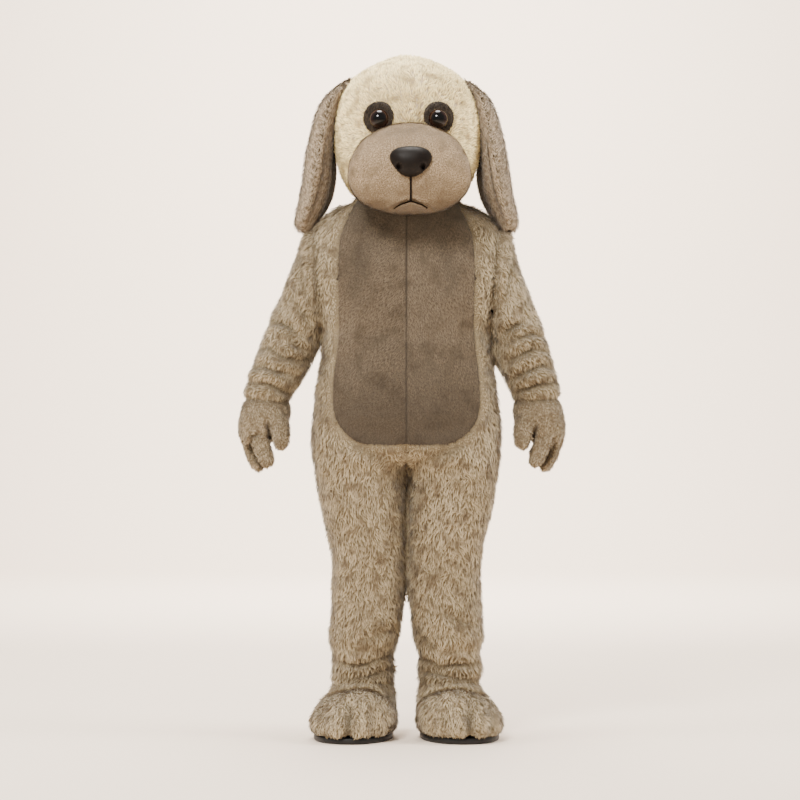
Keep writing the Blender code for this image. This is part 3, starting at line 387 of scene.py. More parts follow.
def comb(mesh, way, trim=None):
    """Stores which way the pile lies at each point, and how short it is cut there."""
    places, normals = places_and_normals(mesh)
    nap = way(places, normals)
    nap = nap - (nap * normals).sum(1)[:, None] * normals
    nap /= np.maximum(np.linalg.norm(nap, axis=1), 1e-6)[:, None]
    mesh.attributes.new("nap", "FLOAT_VECTOR", "POINT").data.foreach_set("vector", nap.ravel())
    pressed = np.zeros(len(places))
    if "pressed" in mesh.attributes:
        mesh.attributes["pressed"].data.foreach_get("value", pressed)
    length = (1 - PRESSED_SHORTER * pressed) * (1 if trim is None else trim(places))
    mesh.attributes.new("trim", "FLOAT", "POINT").data.foreach_set("value", length)


def in_order(work, faces, edges):
    """Puts the faces and edges added after the first ones in the order of their places."""
    for added, first, middle in (
        (work.faces, faces, lambda face: face.calc_center_median()),
        (work.edges, edges, lambda edge: (edge.verts[0].co + edge.verts[1].co) / 2),
    ):
        added.index_update()
        fresh = [g for g in added if g.index >= first]
        fresh.sort(key=lambda g: [round(c, 6) for c in middle(g)])
        rank = {g.index: first + place for place, g in enumerate(fresh)}
        added.sort(key=lambda g: rank.get(g.index, g.index))
        added.index_update()


ALLOWANCE = 0.010
ALLOWANCE_OUT = 0.8  # a seam allowance's slope: this much outwards
ALLOWANCE_UNDER = 0.5  # to this much inwards, under the next piece
EVENING = 3  # times that each allowance's direction is averaged with its neighbours'


def turn_in_edges(mesh, allowance=ALLOWANCE):
    """Adds a seam allowance along a sheet's open edges, which slopes in under the next piece."""
    work = opened(mesh)
    work.normal_update()
    ways = {}
    for edge in work.edges:
        if not edge.is_boundary:
            continue
        face = edge.link_faces[0]
        outwards = (edge.verts[1].co - edge.verts[0].co).cross(face.normal)
        if outwards.dot(edge.verts[0].co - face.calc_center_median()) < 0:
            outwards = -outwards
        slope = outwards.normalized() * ALLOWANCE_OUT
        for vert in edge.verts:
            ways[vert] = ways.get(vert, Vector()) + slope - face.normal * ALLOWANCE_UNDER
    for _ in range(EVENING):
        ways = {
            vert: way + sum((ways[e.other_vert(vert)] for e in vert.link_edges if e.is_boundary), Vector())
            for vert, way in ways.items()
        }
    before = (len(work.faces), len(work.edges))
    edges = [e for e in work.edges if e.is_boundary]
    made = bmesh.ops.extrude_edge_only(work, edges=edges)["geom"]
    for vert in (g for g in made if isinstance(g, bmesh.types.BMVert)):
        other = next((e.other_vert(vert) for e in vert.link_edges if e.other_vert(vert) in ways), None)
        if other is not None:
            vert.co += ways[other].normalized() * allowance
    in_order(work, *before)
    write_back(work, mesh)


CREVICE_REACH = 0.030  # how far a limb looks for the next one
CREVICE_STEPS = 4
PRESSED_TOGETHER = 0.020  # limbs nearer than this fill the gap between them
FILLING = 0.006  # over which the filling fades in
LEFT_BETWEEN = 0.001


def fill_crevices(mesh, own):
    """Lets limbs that rest side by side press their fur together."""
    places, normals = places_and_normals(mesh)
    moved = np.zeros(len(places))
    for i in range(len(places)):
        start = Vector(places[i])
        ray = Vector(normals[i])
        skin = 0.0
        reached = 0.0
        for _ in range(CREVICE_STEPS):
            hit, _, index, gap = every_solid.ray_cast(start, ray, CREVICE_REACH)
            if hit is None:
                break
            reached += gap
            other = limb(face_nodes[index], hit.z + SHOULDER)
            if other != limb(own, hit.z + SHOULDER):
                near = min(1.0, max(0.0, (PRESSED_TOGETHER - reached) / FILLING))
                moved[i] = near * max(0.0, (reached + skin) / 2 - LEFT_BETWEEN)
                break
            skin = skin or reached
            start = hit + ray * 2 * OFF_THE_FACE
            reached += 2 * OFF_THE_FACE
    move_out(mesh, places, normals, moved)


def thicken(item, thickness=BACKING):
    """Gives a sheet its thickness, inwards."""
    wall = item.modifiers.new("thickness", "SOLIDIFY")
    wall.thickness = thickness
    wall.offset = -1
    bake_modifiers(item)
    item.data.shade_smooth()


def merge_points(item, share):
    """Leaves a share of a backing's faces, where the pile hides it."""
    fewer = item.modifiers.new("fewer", "DECIMATE")
    fewer.ratio = share
    bake_modifiers(item)


def cover(item, material):
    """Gives a piece one material in place of any it has."""
    item.data.materials.clear()
    item.data.materials.append(material)


def fix(slot, *items, body="suit"):
    """Says which body some pieces ride on. Its slot, the finish of the record, is not used."""
    for item in items:
        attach(item, body)


def node_maker(tree):
    """A short way to add a node: its kind, what its sockets take, and its settings."""
    def node(kind, links=None, **settings):
        made = tree.nodes.new(kind)
        for key, value in settings.items():
            setattr(made, key, value)
        for socket, source in (links or {}).items():
            if isinstance(source, bpy.types.NodeSocket):
                tree.links.new(source, made.inputs[socket])
            else:
                made.inputs[socket].default_value = source
        return made
    return node


def new_group(name, inputs, output):
    """An empty group of geometry nodes with named inputs and one output."""
    tree = bpy.data.node_groups.new(name, "GeometryNodeTree")
    for label, kind, value in inputs:
        socket = tree.interface.new_socket(label, in_out="INPUT", socket_type=f"NodeSocket{kind}")
        if value is not None:
            socket.default_value = value
    tree.interface.new_socket(output, in_out="OUTPUT", socket_type="NodeSocketGeometry")
    return tree


def run_group(item, group, **values):
    """Lets a group of geometry nodes make an object's mesh from values for its named inputs."""
    sockets = {s.name: s.identifier for s in group.interface.items_tree if s.in_out == "INPUT"}
    step = item.modifiers.new(group.name, "NODES")
    step.node_group = group
    for name, value in values.items():
        step[sockets[name.replace("_", " ")]] = value
    bake_modifiers(item)


def pile_tree():
    """Tufts scattered over a cloth, leaning with its nap and drawn together in locks."""
    tree = new_group("pile", (
        ("Cloth", "Geometry", None), ("Tuft", "Object", None),
        ("Tufts per square metre", "Float", 48000.0), ("Length", "Float", 0.013),
        ("Width", "Float", 0.0027), ("Lift", "Float", 0.45), ("Sway", "Float", 0.6),
        ("Lock size", "Float", 0.022), ("Seed", "Int", 1), ("Finish", "Material", None),
    ), "Pile")
    node = node_maker(tree)
    given = tree.nodes.new("NodeGroupInput").outputs

    def maths(operation, a, b=0.0):
        return node("ShaderNodeMath", {0: a, 1: b}, operation=operation).outputs[0]

    def vectors(operation, a, b=(0, 0, 0)):
        return node("ShaderNodeVectorMath", {0: a, 1: b}, operation=operation)

    def scaled(vector, by):
        return node("ShaderNodeVectorMath", {0: vector, "Scale": by}, operation="SCALE").outputs[0]

    def random(low, high, seed):
        return node(
            "FunctionNodeRandomValue", {"Min": low, "Max": high, "Seed": seed}, data_type="FLOAT"
        ).outputs[1]

    spread = node("GeometryNodeDistributePointsOnFaces", {
        "Mesh": given["Cloth"], "Density": given["Tufts per square metre"], "Seed": given["Seed"],
    }, distribute_method="RANDOM")
    nap = node("GeometryNodeInputNamedAttribute", {"Name": "nap"}, data_type="FLOAT_VECTOR").outputs[0]
    place = node("GeometryNodeInputPosition").outputs[0]
    kept = node("GeometryNodeCaptureAttribute", {"Geometry": spread.outputs["Points"]})
    kept.capture_items.new("VECTOR", "Normal")
    tree.links.new(spread.outputs["Normal"], kept.inputs["Normal"])
    normal = kept.outputs["Normal"]
    locks = node("ShaderNodeTexNoise", {
        "Vector": place, "Detail": 1.0, "Scale": maths("DIVIDE", 1.0, given["Lock size"]),
    }, noise_dimensions="3D")
    lean = vectors("SUBTRACT", locks.outputs["Color"], (0.5, 0.5, 0.5)).outputs[0]
    lean = scaled(lean, maths("MULTIPLY", given["Sway"], 4.0))
    loose = node("FunctionNodeRandomValue", {
        "Min": (-0.3, -0.3, -0.3), "Max": (0.3, 0.3, 0.3), "Seed": 3,
    }, data_type="FLOAT_VECTOR").outputs[0]
    way = vectors("ADD", vectors("ADD", nap, lean).outputs[0], loose).outputs[0]
    along = vectors("DOT_PRODUCT", way, normal).outputs["Value"]
    way = vectors("SUBTRACT", way, scaled(normal, along)).outputs[0]
    way = vectors("NORMALIZE", way).outputs[0]
    angle = maths("ADD", given["Lift"], random(-0.16, 0.16, 5))
    flat = scaled(way, maths("COSINE", angle))
    raised = scaled(normal, maths("SINE", angle))
    direction = vectors("ADD", flat, raised).outputs[0]
    turned = node("FunctionNodeAxesToRotation", {
        "Primary Axis": direction, "Secondary Axis": normal,
    }, primary_axis="X", secondary_axis="Z").outputs[0]
    trim = node("GeometryNodeInputNamedAttribute", {"Name": "trim"}, data_type="FLOAT").outputs[0]
    long = maths("MULTIPLY", maths("MULTIPLY", given["Length"], trim), random(0.65, 1.25, 7))
    wide = maths("MULTIPLY", given["Width"], random(0.7, 1.3, 9))
    size = node("ShaderNodeCombineXYZ", {"X": long, "Y": wide, "Z": long}).outputs[0]
    shape = node("GeometryNodeObjectInfo", {"Object": given["Tuft"]}).outputs["Geometry"]
    tufts = node("GeometryNodeInstanceOnPoints", {
        "Points": kept.outputs["Geometry"], "Instance": shape, "Rotation": turned, "Scale": size,
    }).outputs[0]
    shade = node("GeometryNodeStoreNamedAttribute", {
        "Geometry": tufts, "Name": "shade", "Value": random(0.0, 1.0, 11),
    }, data_type="FLOAT", domain="INSTANCE").outputs[0]
    real = node("GeometryNodeRealizeInstances", {"Geometry": shade}).outputs[0]
    done = node("GeometryNodeSetMaterial", {"Geometry": real, "Material": given["Finish"]}).outputs[0]
    tree.links.new(done, tree.nodes.new("NodeGroupOutput").inputs[0])
    return tree


def tuft_shape():
    """One lock of pile, a metre long: a bowed strip that narrows to a point."""
    points = [(0, -0.5, 0), (0, 0.5, 0), (0.55, 0.40, 0.09), (0.55, -0.40, 0.09), (1, 0, 0.0)]
    mesh = plain_mesh("tuft", points, [(0, 3, 2, 1), (3, 4, 2)])
    across = mesh.uv_layers.new(name="tuft_map")
    corners = [(0, 0), (0, 0.55), (1, 0.55), (1, 0), (0, 0.55), (0.5, 1), (1, 0.55)]
    across.data.foreach_set("uv", np.array(corners, float).ravel())
    mesh.shade_smooth()
    return bpy.data.objects.new("tuft", mesh)


SQUARE_SHARE = 0.7  # how much of its square in the colour map a tuft takes


def spread_map(mesh):
    """Gives each tuft a square of its own in the map that holds its colour."""
    count = len(mesh.loops) // TUFT_CORNERS
    if count * TUFT_CORNERS != len(mesh.loops):
        return
    side = math.ceil(math.sqrt(count))
    local = np.zeros(len(mesh.loops) * 2)
    mesh.uv_layers["tuft_map"].data.foreach_get("uv", local)
    local = local.reshape(count, TUFT_CORNERS, 2) * SQUARE_SHARE + (1 - SQUARE_SHARE) / 2
    index = np.arange(count)
    local[:, :, 0] += (index % side)[:, None]
    local[:, :, 1] += (index // side)[:, None]
    mesh.uv_layers.new(name="OFBake").data.foreach_set("uv", (local / side).ravel())
    mesh.uv_layers["tuft_map"].active_render = True
    mesh.uv_layers.active = mesh.uv_layers["tuft_map"]


pile_group = pile_tree()
tuft = tuft_shape()


def grow_pile(cloth, finish, seed, **sizes):
    """A cloth's pile, as a mesh of its own."""
    source = new_object(f"{cloth.name}_pile", cloth.data.copy())
    run_group(source, pile_group, Tuft=tuft, Finish=finish, Seed=seed, **sizes)
    cover(source, finish)
    spread_map(source.data)
    return source


def colour_mix(tree, factor, first, second, blend="MIX"):
    """Mixes two colours or sockets by a factor."""
    first, second = (
        v if isinstance(v, bpy.types.NodeSocket) else (*v, 1) for v in (first, second)
    )
    return node_maker(tree)(
        "ShaderNodeMix", {0: factor, 6: first, 7: second}, data_type="RGBA", blend_type=blend
    ).outputs[2]


def stepped(tree, source, low, high):
    """Spreads the part of a value between two limits over 0 to 1."""
    limits = {"Value": source, "From Min": low, "From Max": high}
    return node_maker(tree)("ShaderNodeMapRange", limits).outputs[0]


def cloud(tree, size, detail=2.0):
    """A soft noise on the piece's own place, of about a given size in metres."""
    node = node_maker(tree)
    place = node("ShaderNodeTexCoord").outputs["Object"]
    return node("ShaderNodeTexNoise", {"Vector": place, "Scale": 1 / size, "Detail": detail}).outputs["Fac"]


def attribute(tree, name):
    """A value stored on the piece."""
    return node_maker(tree)("ShaderNodeAttribute", attribute_name=name).outputs["Fac"]


def raise_grain(tree, shader, height, strength, distance):
    """Raises a finish a little by a pattern."""
    grain = node_maker(tree)("ShaderNodeBump", {
        "Strength": strength, "Distance": distance, "Height": height,
    })
    tree.links.new(grain.outputs[0], shader.inputs["Normal"])


SHADED_SHARE = 0.22  # how much of its colour pile keeps under full painted shade
BROAD_PATCH = 0.16  # size of the broad patches in which a fur is a little darker
BROAD_TINT = (0.82, 0.80, 0.77)


def pile_finish(name, fur, sheen=0.25):
    """Pile that is dark at its roots, pale towards its tips and tipped darker in patches."""
    material, shader, tree = new_material(
        name, Roughness=0.78, Specular_IOR_Level=0.25, Sheen_Weight=sheen, Sheen_Roughness=0.45
    )
    node = node_maker(tree)
    tuft_map = node("ShaderNodeUVMap", uv_map="tuft_map").outputs[0]
    along = node("ShaderNodeSeparateXYZ", {0: tuft_map}).outputs["Y"]
    colour = colour_mix(tree, stepped(tree, along, 0.0, 0.45), fur.root, fur.middle)
    colour = colour_mix(tree, stepped(tree, along, 0.35, 1.0), colour, fur.tip)
    patches = stepped(tree, cloud(tree, fur.patch_size, 3.0), 0.50, 0.70)
    colour = colour_mix(tree, patches, colour, fur.patch)
    broad = stepped(tree, cloud(tree, BROAD_PATCH), 0.35, 0.65)
    colour = colour_mix(tree, broad, colour, colour_mix(tree, 1.0, colour, BROAD_TINT, "MULTIPLY"))
    # painted shade: the colour darkens where the cloth stores it, in creases, at seams and under things
    dark = tuple(SHADED_SHARE * c for c in fur.middle)
    colour = colour_mix(tree, attribute(tree, "pressed"), colour, dark)
    tint = node("ShaderNodeMapRange", {
        "Value": attribute(tree, "shade"), "To Min": 0.78, "To Max": 1.18,
    }).outputs[0]
    tinted = node("ShaderNodeVectorMath", {0: colour, "Scale": tint}, operation="SCALE").outputs[0]
    tree.links.new(tinted, shader.inputs["Base Color"])
    return material


def backing_finish(name, colour):
    """The close roots of the pile over the woven back."""
    material, shader, tree = new_material(name, Roughness=0.95)
    roots = colour_mix(tree, cloud(tree, 0.004, 3.0), tuple(0.55 * c for c in colour), colour)
    # painted shade: the roots darken where the cloth stores it, in creases, at seams and under things
    dark = tuple(SHADED_SHARE * c for c in colour)
    roots = colour_mix(tree, attribute(tree, "pressed"), roots, dark)
    tree.links.new(roots, shader.inputs["Base Color"])
    raise_grain(tree, shader, cloud(tree, 0.003), 0.6, 0.002)
    return material


body_pile = pile_finish("body_pile", BODY_FUR)
body_backing = backing_finish("body_backing", BODY_FUR.middle)
HIDDEN_SHARE = 0.7  # share of its faces that a backing hidden by long pile keeps


def sew(
    name, way, seed, sink=0.003, creases=(), seam=FUR_SEAM, keep=sees_air, levels=2, shape=None,
    pile=body_pile, backing=body_backing, trim=None, flat=None, held="hung", slot="body_fur", **sizes,
):
    """A fur piece in full: backing, creases, nap and pile, riding on the suit."""
    cloth = outer_face(f"{name}_cloth", [name], keep, levels)
    if shape:
        shape(cloth.data)
    lay(cloth.data, sink, creases, seam)
    if name.startswith(("front", "back", "sleeve")):
        fill_crevices(cloth.data, name)
    comb(cloth.data, way, trim)
    tufts = grow_pile(cloth, pile, seed, **sizes)
    turn_in_edges(cloth.data)
    if name.startswith(("front", "back", "sleeve", "mitt", "foot", "head")):
        merge_points(cloth, HIDDEN_SHARE)
    thicken(cloth)
    cover(cloth, backing)
    fix(slot, cloth, tufts)
    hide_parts(name)


def downwards(places, normals):
    """The nap of the suit runs down to the feet, and closes over the seam between the legs."""
    across = np.clip(1 - np.abs(places[:, 0]) / 0.035, 0, 1)
    between = across * np.clip(1 - np.abs(places[:, 2] - CROTCH_SEAM) / 0.055, 0, 1)
    side = -1.8 * np.sign(places[:, 0]) * between
    return np.stack([side, np.zeros(len(places)), -np.ones(len(places))], 1)


# Creases pressed into the suit where it slackens: below the belly, at the knees and, deepest,
# round the ankles. Like ones lie across the back.
FRONT, BACK = -1, 1
SUIT_CREASES = (
    Crease(FRONT, 0.0132, 0.0057, ((-0.17, 0.83), (-0.10, 0.79), (-0.03, 0.775))),
    Crease(FRONT, 0.0132, 0.0057, ((0.02, 0.77), (0.09, 0.785), (0.17, 0.82))),
    Crease(FRONT, 0.0121, 0.0057, ((-0.138, 0.277), (-0.079, 0.294), (-0.024, 0.311))),
    Crease(FRONT, 0.01, 0.0076, ((-0.202, 0.222), (-0.138, 0.205), (-0.068, 0.227), (-0.029, 0.238))),
    Crease(FRONT, 0.01, 0.0076, ((-0.202, 0.174), (-0.155, 0.169), (-0.096, 0.180), (-0.040, 0.199))),
    Crease(FRONT, 0.0088, 0.0057, ((-0.202, 0.143), (-0.127, 0.150), (-0.035, 0.137))),
    Crease(FRONT, 0.0132, 0.0057, ((0.085, 0.37), (0.141, 0.335), (0.200, 0.311))),
    Crease(FRONT, 0.0121, 0.0057, ((0.021, 0.311), (0.052, 0.277), (0.074, 0.250))),
    Crease(FRONT, 0.01, 0.0086, ((0.028, 0.227), (0.096, 0.205), (0.158, 0.210), (0.205, 0.216))),
    Crease(FRONT, 0.01, 0.0086, ((0.031, 0.186), (0.085, 0.186), (0.141, 0.169), (0.205, 0.164))),
    Crease(FRONT, 0.0088, 0.0057, ((0.040, 0.140), (0.120, 0.146), (0.200, 0.137))),
    Crease(BACK, 0.0132, 0.0067, ((-0.18, 0.80), (-0.10, 0.775), (-0.02, 0.80))),
    Crease(BACK, 0.0132, 0.0067, ((0.02, 0.80), (0.10, 0.775), (0.18, 0.80))),
    Crease(BACK, 0.0121, 0.0067, ((-0.19, 0.46), (-0.11, 0.445), (-0.03, 0.47))),
    Crease(BACK, 0.0121, 0.0067, ((0.03, 0.475), (0.11, 0.445), (0.19, 0.465))),
    Crease(BACK, 0.01, 0.0076, ((-0.20, 0.235), (-0.12, 0.215), (-0.03, 0.225))),
    Crease(BACK, 0.01, 0.0076, ((0.03, 0.230), (0.12, 0.215), (0.20, 0.235))),
    Crease(BACK, 0.01, 0.0076, ((-0.20, 0.180), (-0.12, 0.170), (-0.03, 0.185))),
    Crease(BACK, 0.01, 0.0076, ((0.03, 0.180), (0.12, 0.168), (0.20, 0.185))),
)
belly_edge = KDTree(sum(len(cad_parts[f"belly_{word}"].data.vertices) for word in ("right", "left")))
for word in ("right", "left"):
    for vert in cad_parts[f"belly_{word}"].data.vertices:
        belly_edge.insert(vert.co, vert.index)
belly_edge.balance()


def short_beside_the_belly(places):
    """The fronts' pile is clipped where it would hide the edge of the belly patch."""
    return np.interp([belly_edge.find(p)[2] for p in places], (0.006, 0.030), (0.30, 1.0))


PADDING = tuple(Bulge(*sizes) for sizes in (  # pads over the shoulders, and slack at the ankles
    ((-0.215, 0.0, 0.020), (0.055, 0.130, 0.055), 0.019),
    ((0.222, 0.0, 0.020), (0.055, 0.130, 0.055), 0.021),
    ((-0.268, 0.0, -0.035), (0.035, 0.090, 0.040), 0.013),
    ((0.272, 0.0, -0.035), (0.035, 0.090, 0.040), 0.015),
    ((-0.200, 0.0, -1.250), (0.040, 0.130, 0.030), 0.009),
    ((0.205, 0.0, -1.250), (0.040, 0.130, 0.030), 0.009),
    ((-0.035, 0.0, -1.250), (0.030, 0.130, 0.030), 0.007),
    ((0.035, 0.0, -1.250), (0.030, 0.130, 0.030), 0.007),
))


def padded(mesh):
    """Rounds the suit out where it is padded or slack."""
    swell(mesh, PADDING)


for word in ("right", "left"):
    sew(
        f"front_{word}", downwards, 11, trim=short_beside_the_belly, shape=padded,
        creases=SUIT_CREASES, flat=(0.43, 1.50, 0.33),
        Length=0.020, Width=0.0033, Lift=0.36, Sway=0.75, Lock_size=0.034,
    )
    sew(
        f"back_{word}", downwards, 13, shape=padded, creases=SUIT_CREASES, flat=(0.43, 1.49, 0.455),
        Tufts_per_square_metre=40000.0, Length=0.020, Width=0.0034, Lift=0.36, Sway=0.75, Lock_size=0.034,
    )

# The belly patch: short dark plush let into the fronts in two halves, sewn down the middle.
# Its nap was stroked down and a little to one side.
BELLY_PLUSH = Fur(
    (0.052, 0.036, 0.022), (0.128, 0.095, 0.061), (0.222, 0.172, 0.115), (0.070, 0.050, 0.030), 0.050
)
belly_pile = pile_finish("belly_pile", BELLY_PLUSH, sheen=0.15)
belly_backing = backing_finish("belly_backing", BELLY_PLUSH.middle)


def stroked(places, normals):
    """The belly's nap was stroked down and to one side."""
    side = np.where(places[:, 0] < 0, -0.75, 0.25)
    return np.stack([side, np.zeros(len(places)), -np.ones(len(places))], 1)


BELLY_DARK_LEVELS = (-0.62, -0.50, -0.42, -0.30, -0.15, -0.05, 0.0, 0.06)
BELLY_DARK = (0.68, 0.48, 0.28, 0.0, 0.0, 0.26, 0.42, 0.65)  # how dark the plush is at each level: painted shade on the chest under the head, and darker towards the bottom
SEAM_STRIPS = (0.030, 0.014)  # the cloth is divided once more inside each of these


def split_at_the_seam(mesh):
    """Divides the cloth finely beside the middle seam, and darkens the chest with painted shade under the
    head, and the lowest part.
    """
    work = opened(mesh)
    for width in SEAM_STRIPS:
        edges = [e for e in work.edges if all(abs(v.co.x) < width for v in e.verts)]
        bmesh.ops.subdivide_edges(work, edges=edges, cuts=1, use_grid_fill=True)
    write_back(work, mesh)
    paint_shade(mesh, lambda places, normals: np.interp(places[:, 2], BELLY_DARK_LEVELS, BELLY_DARK))


def looks_forwards(face):
    """Whether a face is on the patch's outside, not one of its cut edges."""
    return face.normal.y < -0.05


BELLY_CREASES = (
    # The first two, broad and shallow under the chin, are there mostly for the painted shade they bring
    # under the head.
    Crease(FRONT, 0.038, 0.005, ((-0.02, 1.46), (-0.08, 1.42), (-0.12, 1.35), (-0.15, 1.20))),
    Crease(FRONT, 0.034, 0.005, ((0.02, 1.46), (0.08, 1.42), (0.11, 1.34), (0.12, 1.22))),
    Crease(FRONT, 0.026, 0.003, ((-0.17, 1.02), (-0.09, 1.10), (-0.01, 1.13))),
    Crease(FRONT, 0.022, 0.002, ((-0.17, 0.90), (-0.08, 0.99), (-0.01, 1.03))),
    Crease(FRONT, 0.024, 0.003, ((0.17, 0.94), (0.09, 1.02), (0.01, 1.12))),
    Crease(FRONT, 0.024, 0.003, ((-0.16, 0.85), (-0.07, 0.84), (-0.01, 0.85))),
    Crease(FRONT, 0.024, 0.003, ((0.16, 0.86), (0.08, 0.85), (0.01, 0.86))),
)
for word in ("right", "left"):
    sew(
        f"belly_{word}", stroked, 19, creases=BELLY_CREASES, pile=belly_pile, backing=belly_backing,
        seam=Seam(0.0026, 0.002, 0.9), slot="belly_plush", shape=split_at_the_seam,
        keep=looks_forwards, flat=(0.225, 0.765, 0.139),
        Tufts_per_square_metre=73000.0, Length=0.0140, Width=0.0017, Lift=0.12, Sway=0.16, Lock_size=0.06,
    )

# The sleeves: tubes of the body's fur, set into the armholes. They are too long for the arm, so
# they slump into deep soft rings above the wrist.
SLEEVE_CREASES = (
    Crease(FRONT, 0.0125, 0.0090, ((-0.392, 1.143), (-0.362, 1.157), (-0.321, 1.141), (-0.292, 1.104))),
    Crease(FRONT, 0.0095, 0.0060, ((-0.330, 1.118), (-0.300, 1.083), (-0.262, 1.078))),
    Crease(
        FRONT, 0.0115, 0.0085,
        ((-0.425, 1.078), (-0.380, 1.086), (-0.340, 1.055), (-0.295, 1.048), (-0.250, 1.062)),
    ),
    Crease(FRONT, 0.0100, 0.0080, ((-0.442, 1.024), (-0.398, 1.033), (-0.359, 1.016), (-0.306, 1.012))),
    Crease(
        FRONT, 0.0105, 0.0090,
        ((-0.452, 0.993), (-0.411, 0.984), (-0.369, 0.980), (-0.335, 0.958), (-0.306, 0.957)),
    ),
    Crease(FRONT, 0.0100, 0.0045, ((-0.300, 1.36), (-0.285, 1.27), (-0.262, 1.20))),
    Crease(FRONT, 0.0120, 0.0060, ((-0.252, 1.33), (-0.240, 1.26), (-0.246, 1.19))),
    Crease(FRONT, 0.0105, 0.0050, ((-0.325, 1.235), (-0.292, 1.19), (-0.262, 1.145))),
    Crease(FRONT, 0.0125, 0.0090, ((0.325, 1.155), (0.288, 1.138), (0.258, 1.108))),
    Crease(FRONT, 0.0105, 0.0080, ((0.396, 1.110), (0.346, 1.122), (0.295, 1.106), (0.252, 1.086))),
    Crease(FRONT, 0.0110, 0.0085, ((0.404, 1.072), (0.352, 1.081), (0.307, 1.060), (0.262, 1.034))),
    Crease(FRONT, 0.0100, 0.0080, ((0.418, 1.024), (0.378, 1.036), (0.327, 1.016), (0.282, 0.990))),
    Crease(FRONT, 0.0100, 0.0085, ((0.424, 0.990), (0.372, 0.984), (0.333, 0.972), (0.290, 0.958))),
    Crease(FRONT, 0.0100, 0.0045, ((0.300, 1.35), (0.280, 1.26), (0.262, 1.18))),
    Crease(FRONT, 0.0120, 0.0060, ((0.248, 1.34), (0.238, 1.25), (0.246, 1.16))),
    Crease(BACK, 0.0120, 0.0085, ((-0.420, 1.110), (-0.360, 1.105), (-0.265, 1.130))),
    Crease(BACK, 0.0110, 0.0080, ((-0.440, 1.050), (-0.370, 1.040), (-0.275, 1.065))),
    Crease(BACK, 0.0105, 0.0085, ((-0.455, 0.990), (-0.385, 0.985), (-0.300, 1.010))),
    Crease(BACK, 0.0120, 0.0085, ((0.250, 1.125), (0.330, 1.105), (0.400, 1.120))),
    Crease(BACK, 0.0110, 0.0080, ((0.265, 1.060), (0.345, 1.045), (0.415, 1.060))),
    Crease(BACK, 0.0105, 0.0085, ((0.285, 1.005), (0.360, 0.985), (0.430, 1.000))),
)


def down_the_arm(places, normals):
    """The nap of the sleeves runs down the slanting arms."""
    side = np.sign(places[:, 0])
    return np.stack([0.45 * side, np.zeros(len(places)), -np.ones(len(places))], 1)


for word in ("right", "left"):
    sew(
        f"sleeve_{word}", down_the_arm, 17, shape=padded, creases=SLEEVE_CREASES, flat=(0.50, 0.50, 0.19),
        Tufts_per_square_metre=60000.0, Length=0.018, Width=0.0031, Lift=0.34, Sway=0.85, Lock_size=0.022,
    )

# The mitts: paws of a shorter, curlier pile with a thumb and three fingers, worn over the
# sleeves' ends. They pull off.
MITT_CREASES = tuple(  # the grooves between the fingers, on the back and on the palm
    Crease(facing, width, depth, path) for facing in (FRONT, BACK) for width, depth, path in (
        (0.0060, 0.010, (
            (-0.384, 0.885), (-0.381, 0.855), (-0.377, 0.835), (-0.370, 0.814), (-0.362, 0.795),
        )),
        (0.0060, 0.0095, (
            (-0.402, 0.846), (-0.425, 0.836), (-0.433, 0.818), (-0.428, 0.795), (-0.418, 0.774),
            (-0.404, 0.753), (-0.388, 0.735),
        )),
        (0.0055, 0.0080, (
            (-0.474, 0.845), (-0.463, 0.810), (-0.455, 0.786), (-0.446, 0.765), (-0.435, 0.745),
        )),
        (0.0060, 0.010, (
            (0.359, 0.880), (0.353, 0.846), (0.349, 0.825), (0.342, 0.807), (0.330, 0.792),
        )),
        (0.0060, 0.0095, (
            (0.412, 0.842), (0.406, 0.825), (0.401, 0.807), (0.397, 0.790), (0.386, 0.769),
            (0.370, 0.751), (0.350, 0.738),
        )),
        (0.0055, 0.0080, (
            (0.437, 0.845), (0.430, 0.807), (0.421, 0.783), (0.411, 0.765), (0.398, 0.745),
        )),
    )
)
MITT_FUR = Fur(
    (0.060, 0.041, 0.023), (0.23, 0.177, 0.106), (0.48, 0.387, 0.255), (0.145, 0.104, 0.059), 0.014
)
mitt_pile = pile_finish("mitt_pile", MITT_FUR)
mitt_backing = backing_finish("mitt_backing", MITT_FUR.middle)
for word in ("right", "left"):
    sew(
        f"mitt_{word}", downwards, 23, sink=0.001, creases=MITT_CREASES, pile=mitt_pile,
        backing=mitt_backing, held="stretched", flat=(0.43, 0.24, 0.098),
        Tufts_per_square_metre=84000.0, Length=0.0105, Width=0.0025, Lift=0.36, Sway=1.1, Lock_size=0.013,
    )

# The feet: shaggy covers drawn down over the sole's edge, with creases between the toes. Their
# pile is the longest, and lies forwards and out from the ankle.
FOOT_CREASES = (
    Crease(FRONT, 0.012, 0.011, ((-0.158, 0.125), (-0.156, 0.07), (-0.160, -0.02))),
    Crease(FRONT, 0.009, 0.004, ((-0.092, 0.110), (-0.090, 0.06), (-0.088, 0.01))),
    Crease(FRONT, 0.009, 0.004, ((-0.215, 0.095), (-0.222, 0.05), (-0.226, 0.0))),
    Crease(FRONT, 0.012, 0.011, ((0.170, 0.125), (0.172, 0.07), (0.175, -0.02))),
    Crease(FRONT, 0.009, 0.005, ((0.220, 0.105), (0.229, 0.06), (0.235, 0.0))),
    Crease(FRONT, 0.009, 0.004, ((0.105, 0.100), (0.104, 0.05), (0.102, 0.0))),
)
FOOT_FUR = Fur(
    (0.125, 0.090, 0.050), (0.40, 0.31, 0.180), (0.70, 0.575, 0.375), (0.23, 0.17, 0.100), 0.030
)
foot_pile = pile_finish("foot_pile", FOOT_FUR)
foot_backing = backing_finish("foot_backing", FOOT_FUR.middle)
ANKLE_X = 0.125  # from the middle of the costume to the middle of each ankle
FOOT_RIM = 0.09  # the cover's open edge is above this height
COVER_TOP = 0.111  # height at which the plain cover ends
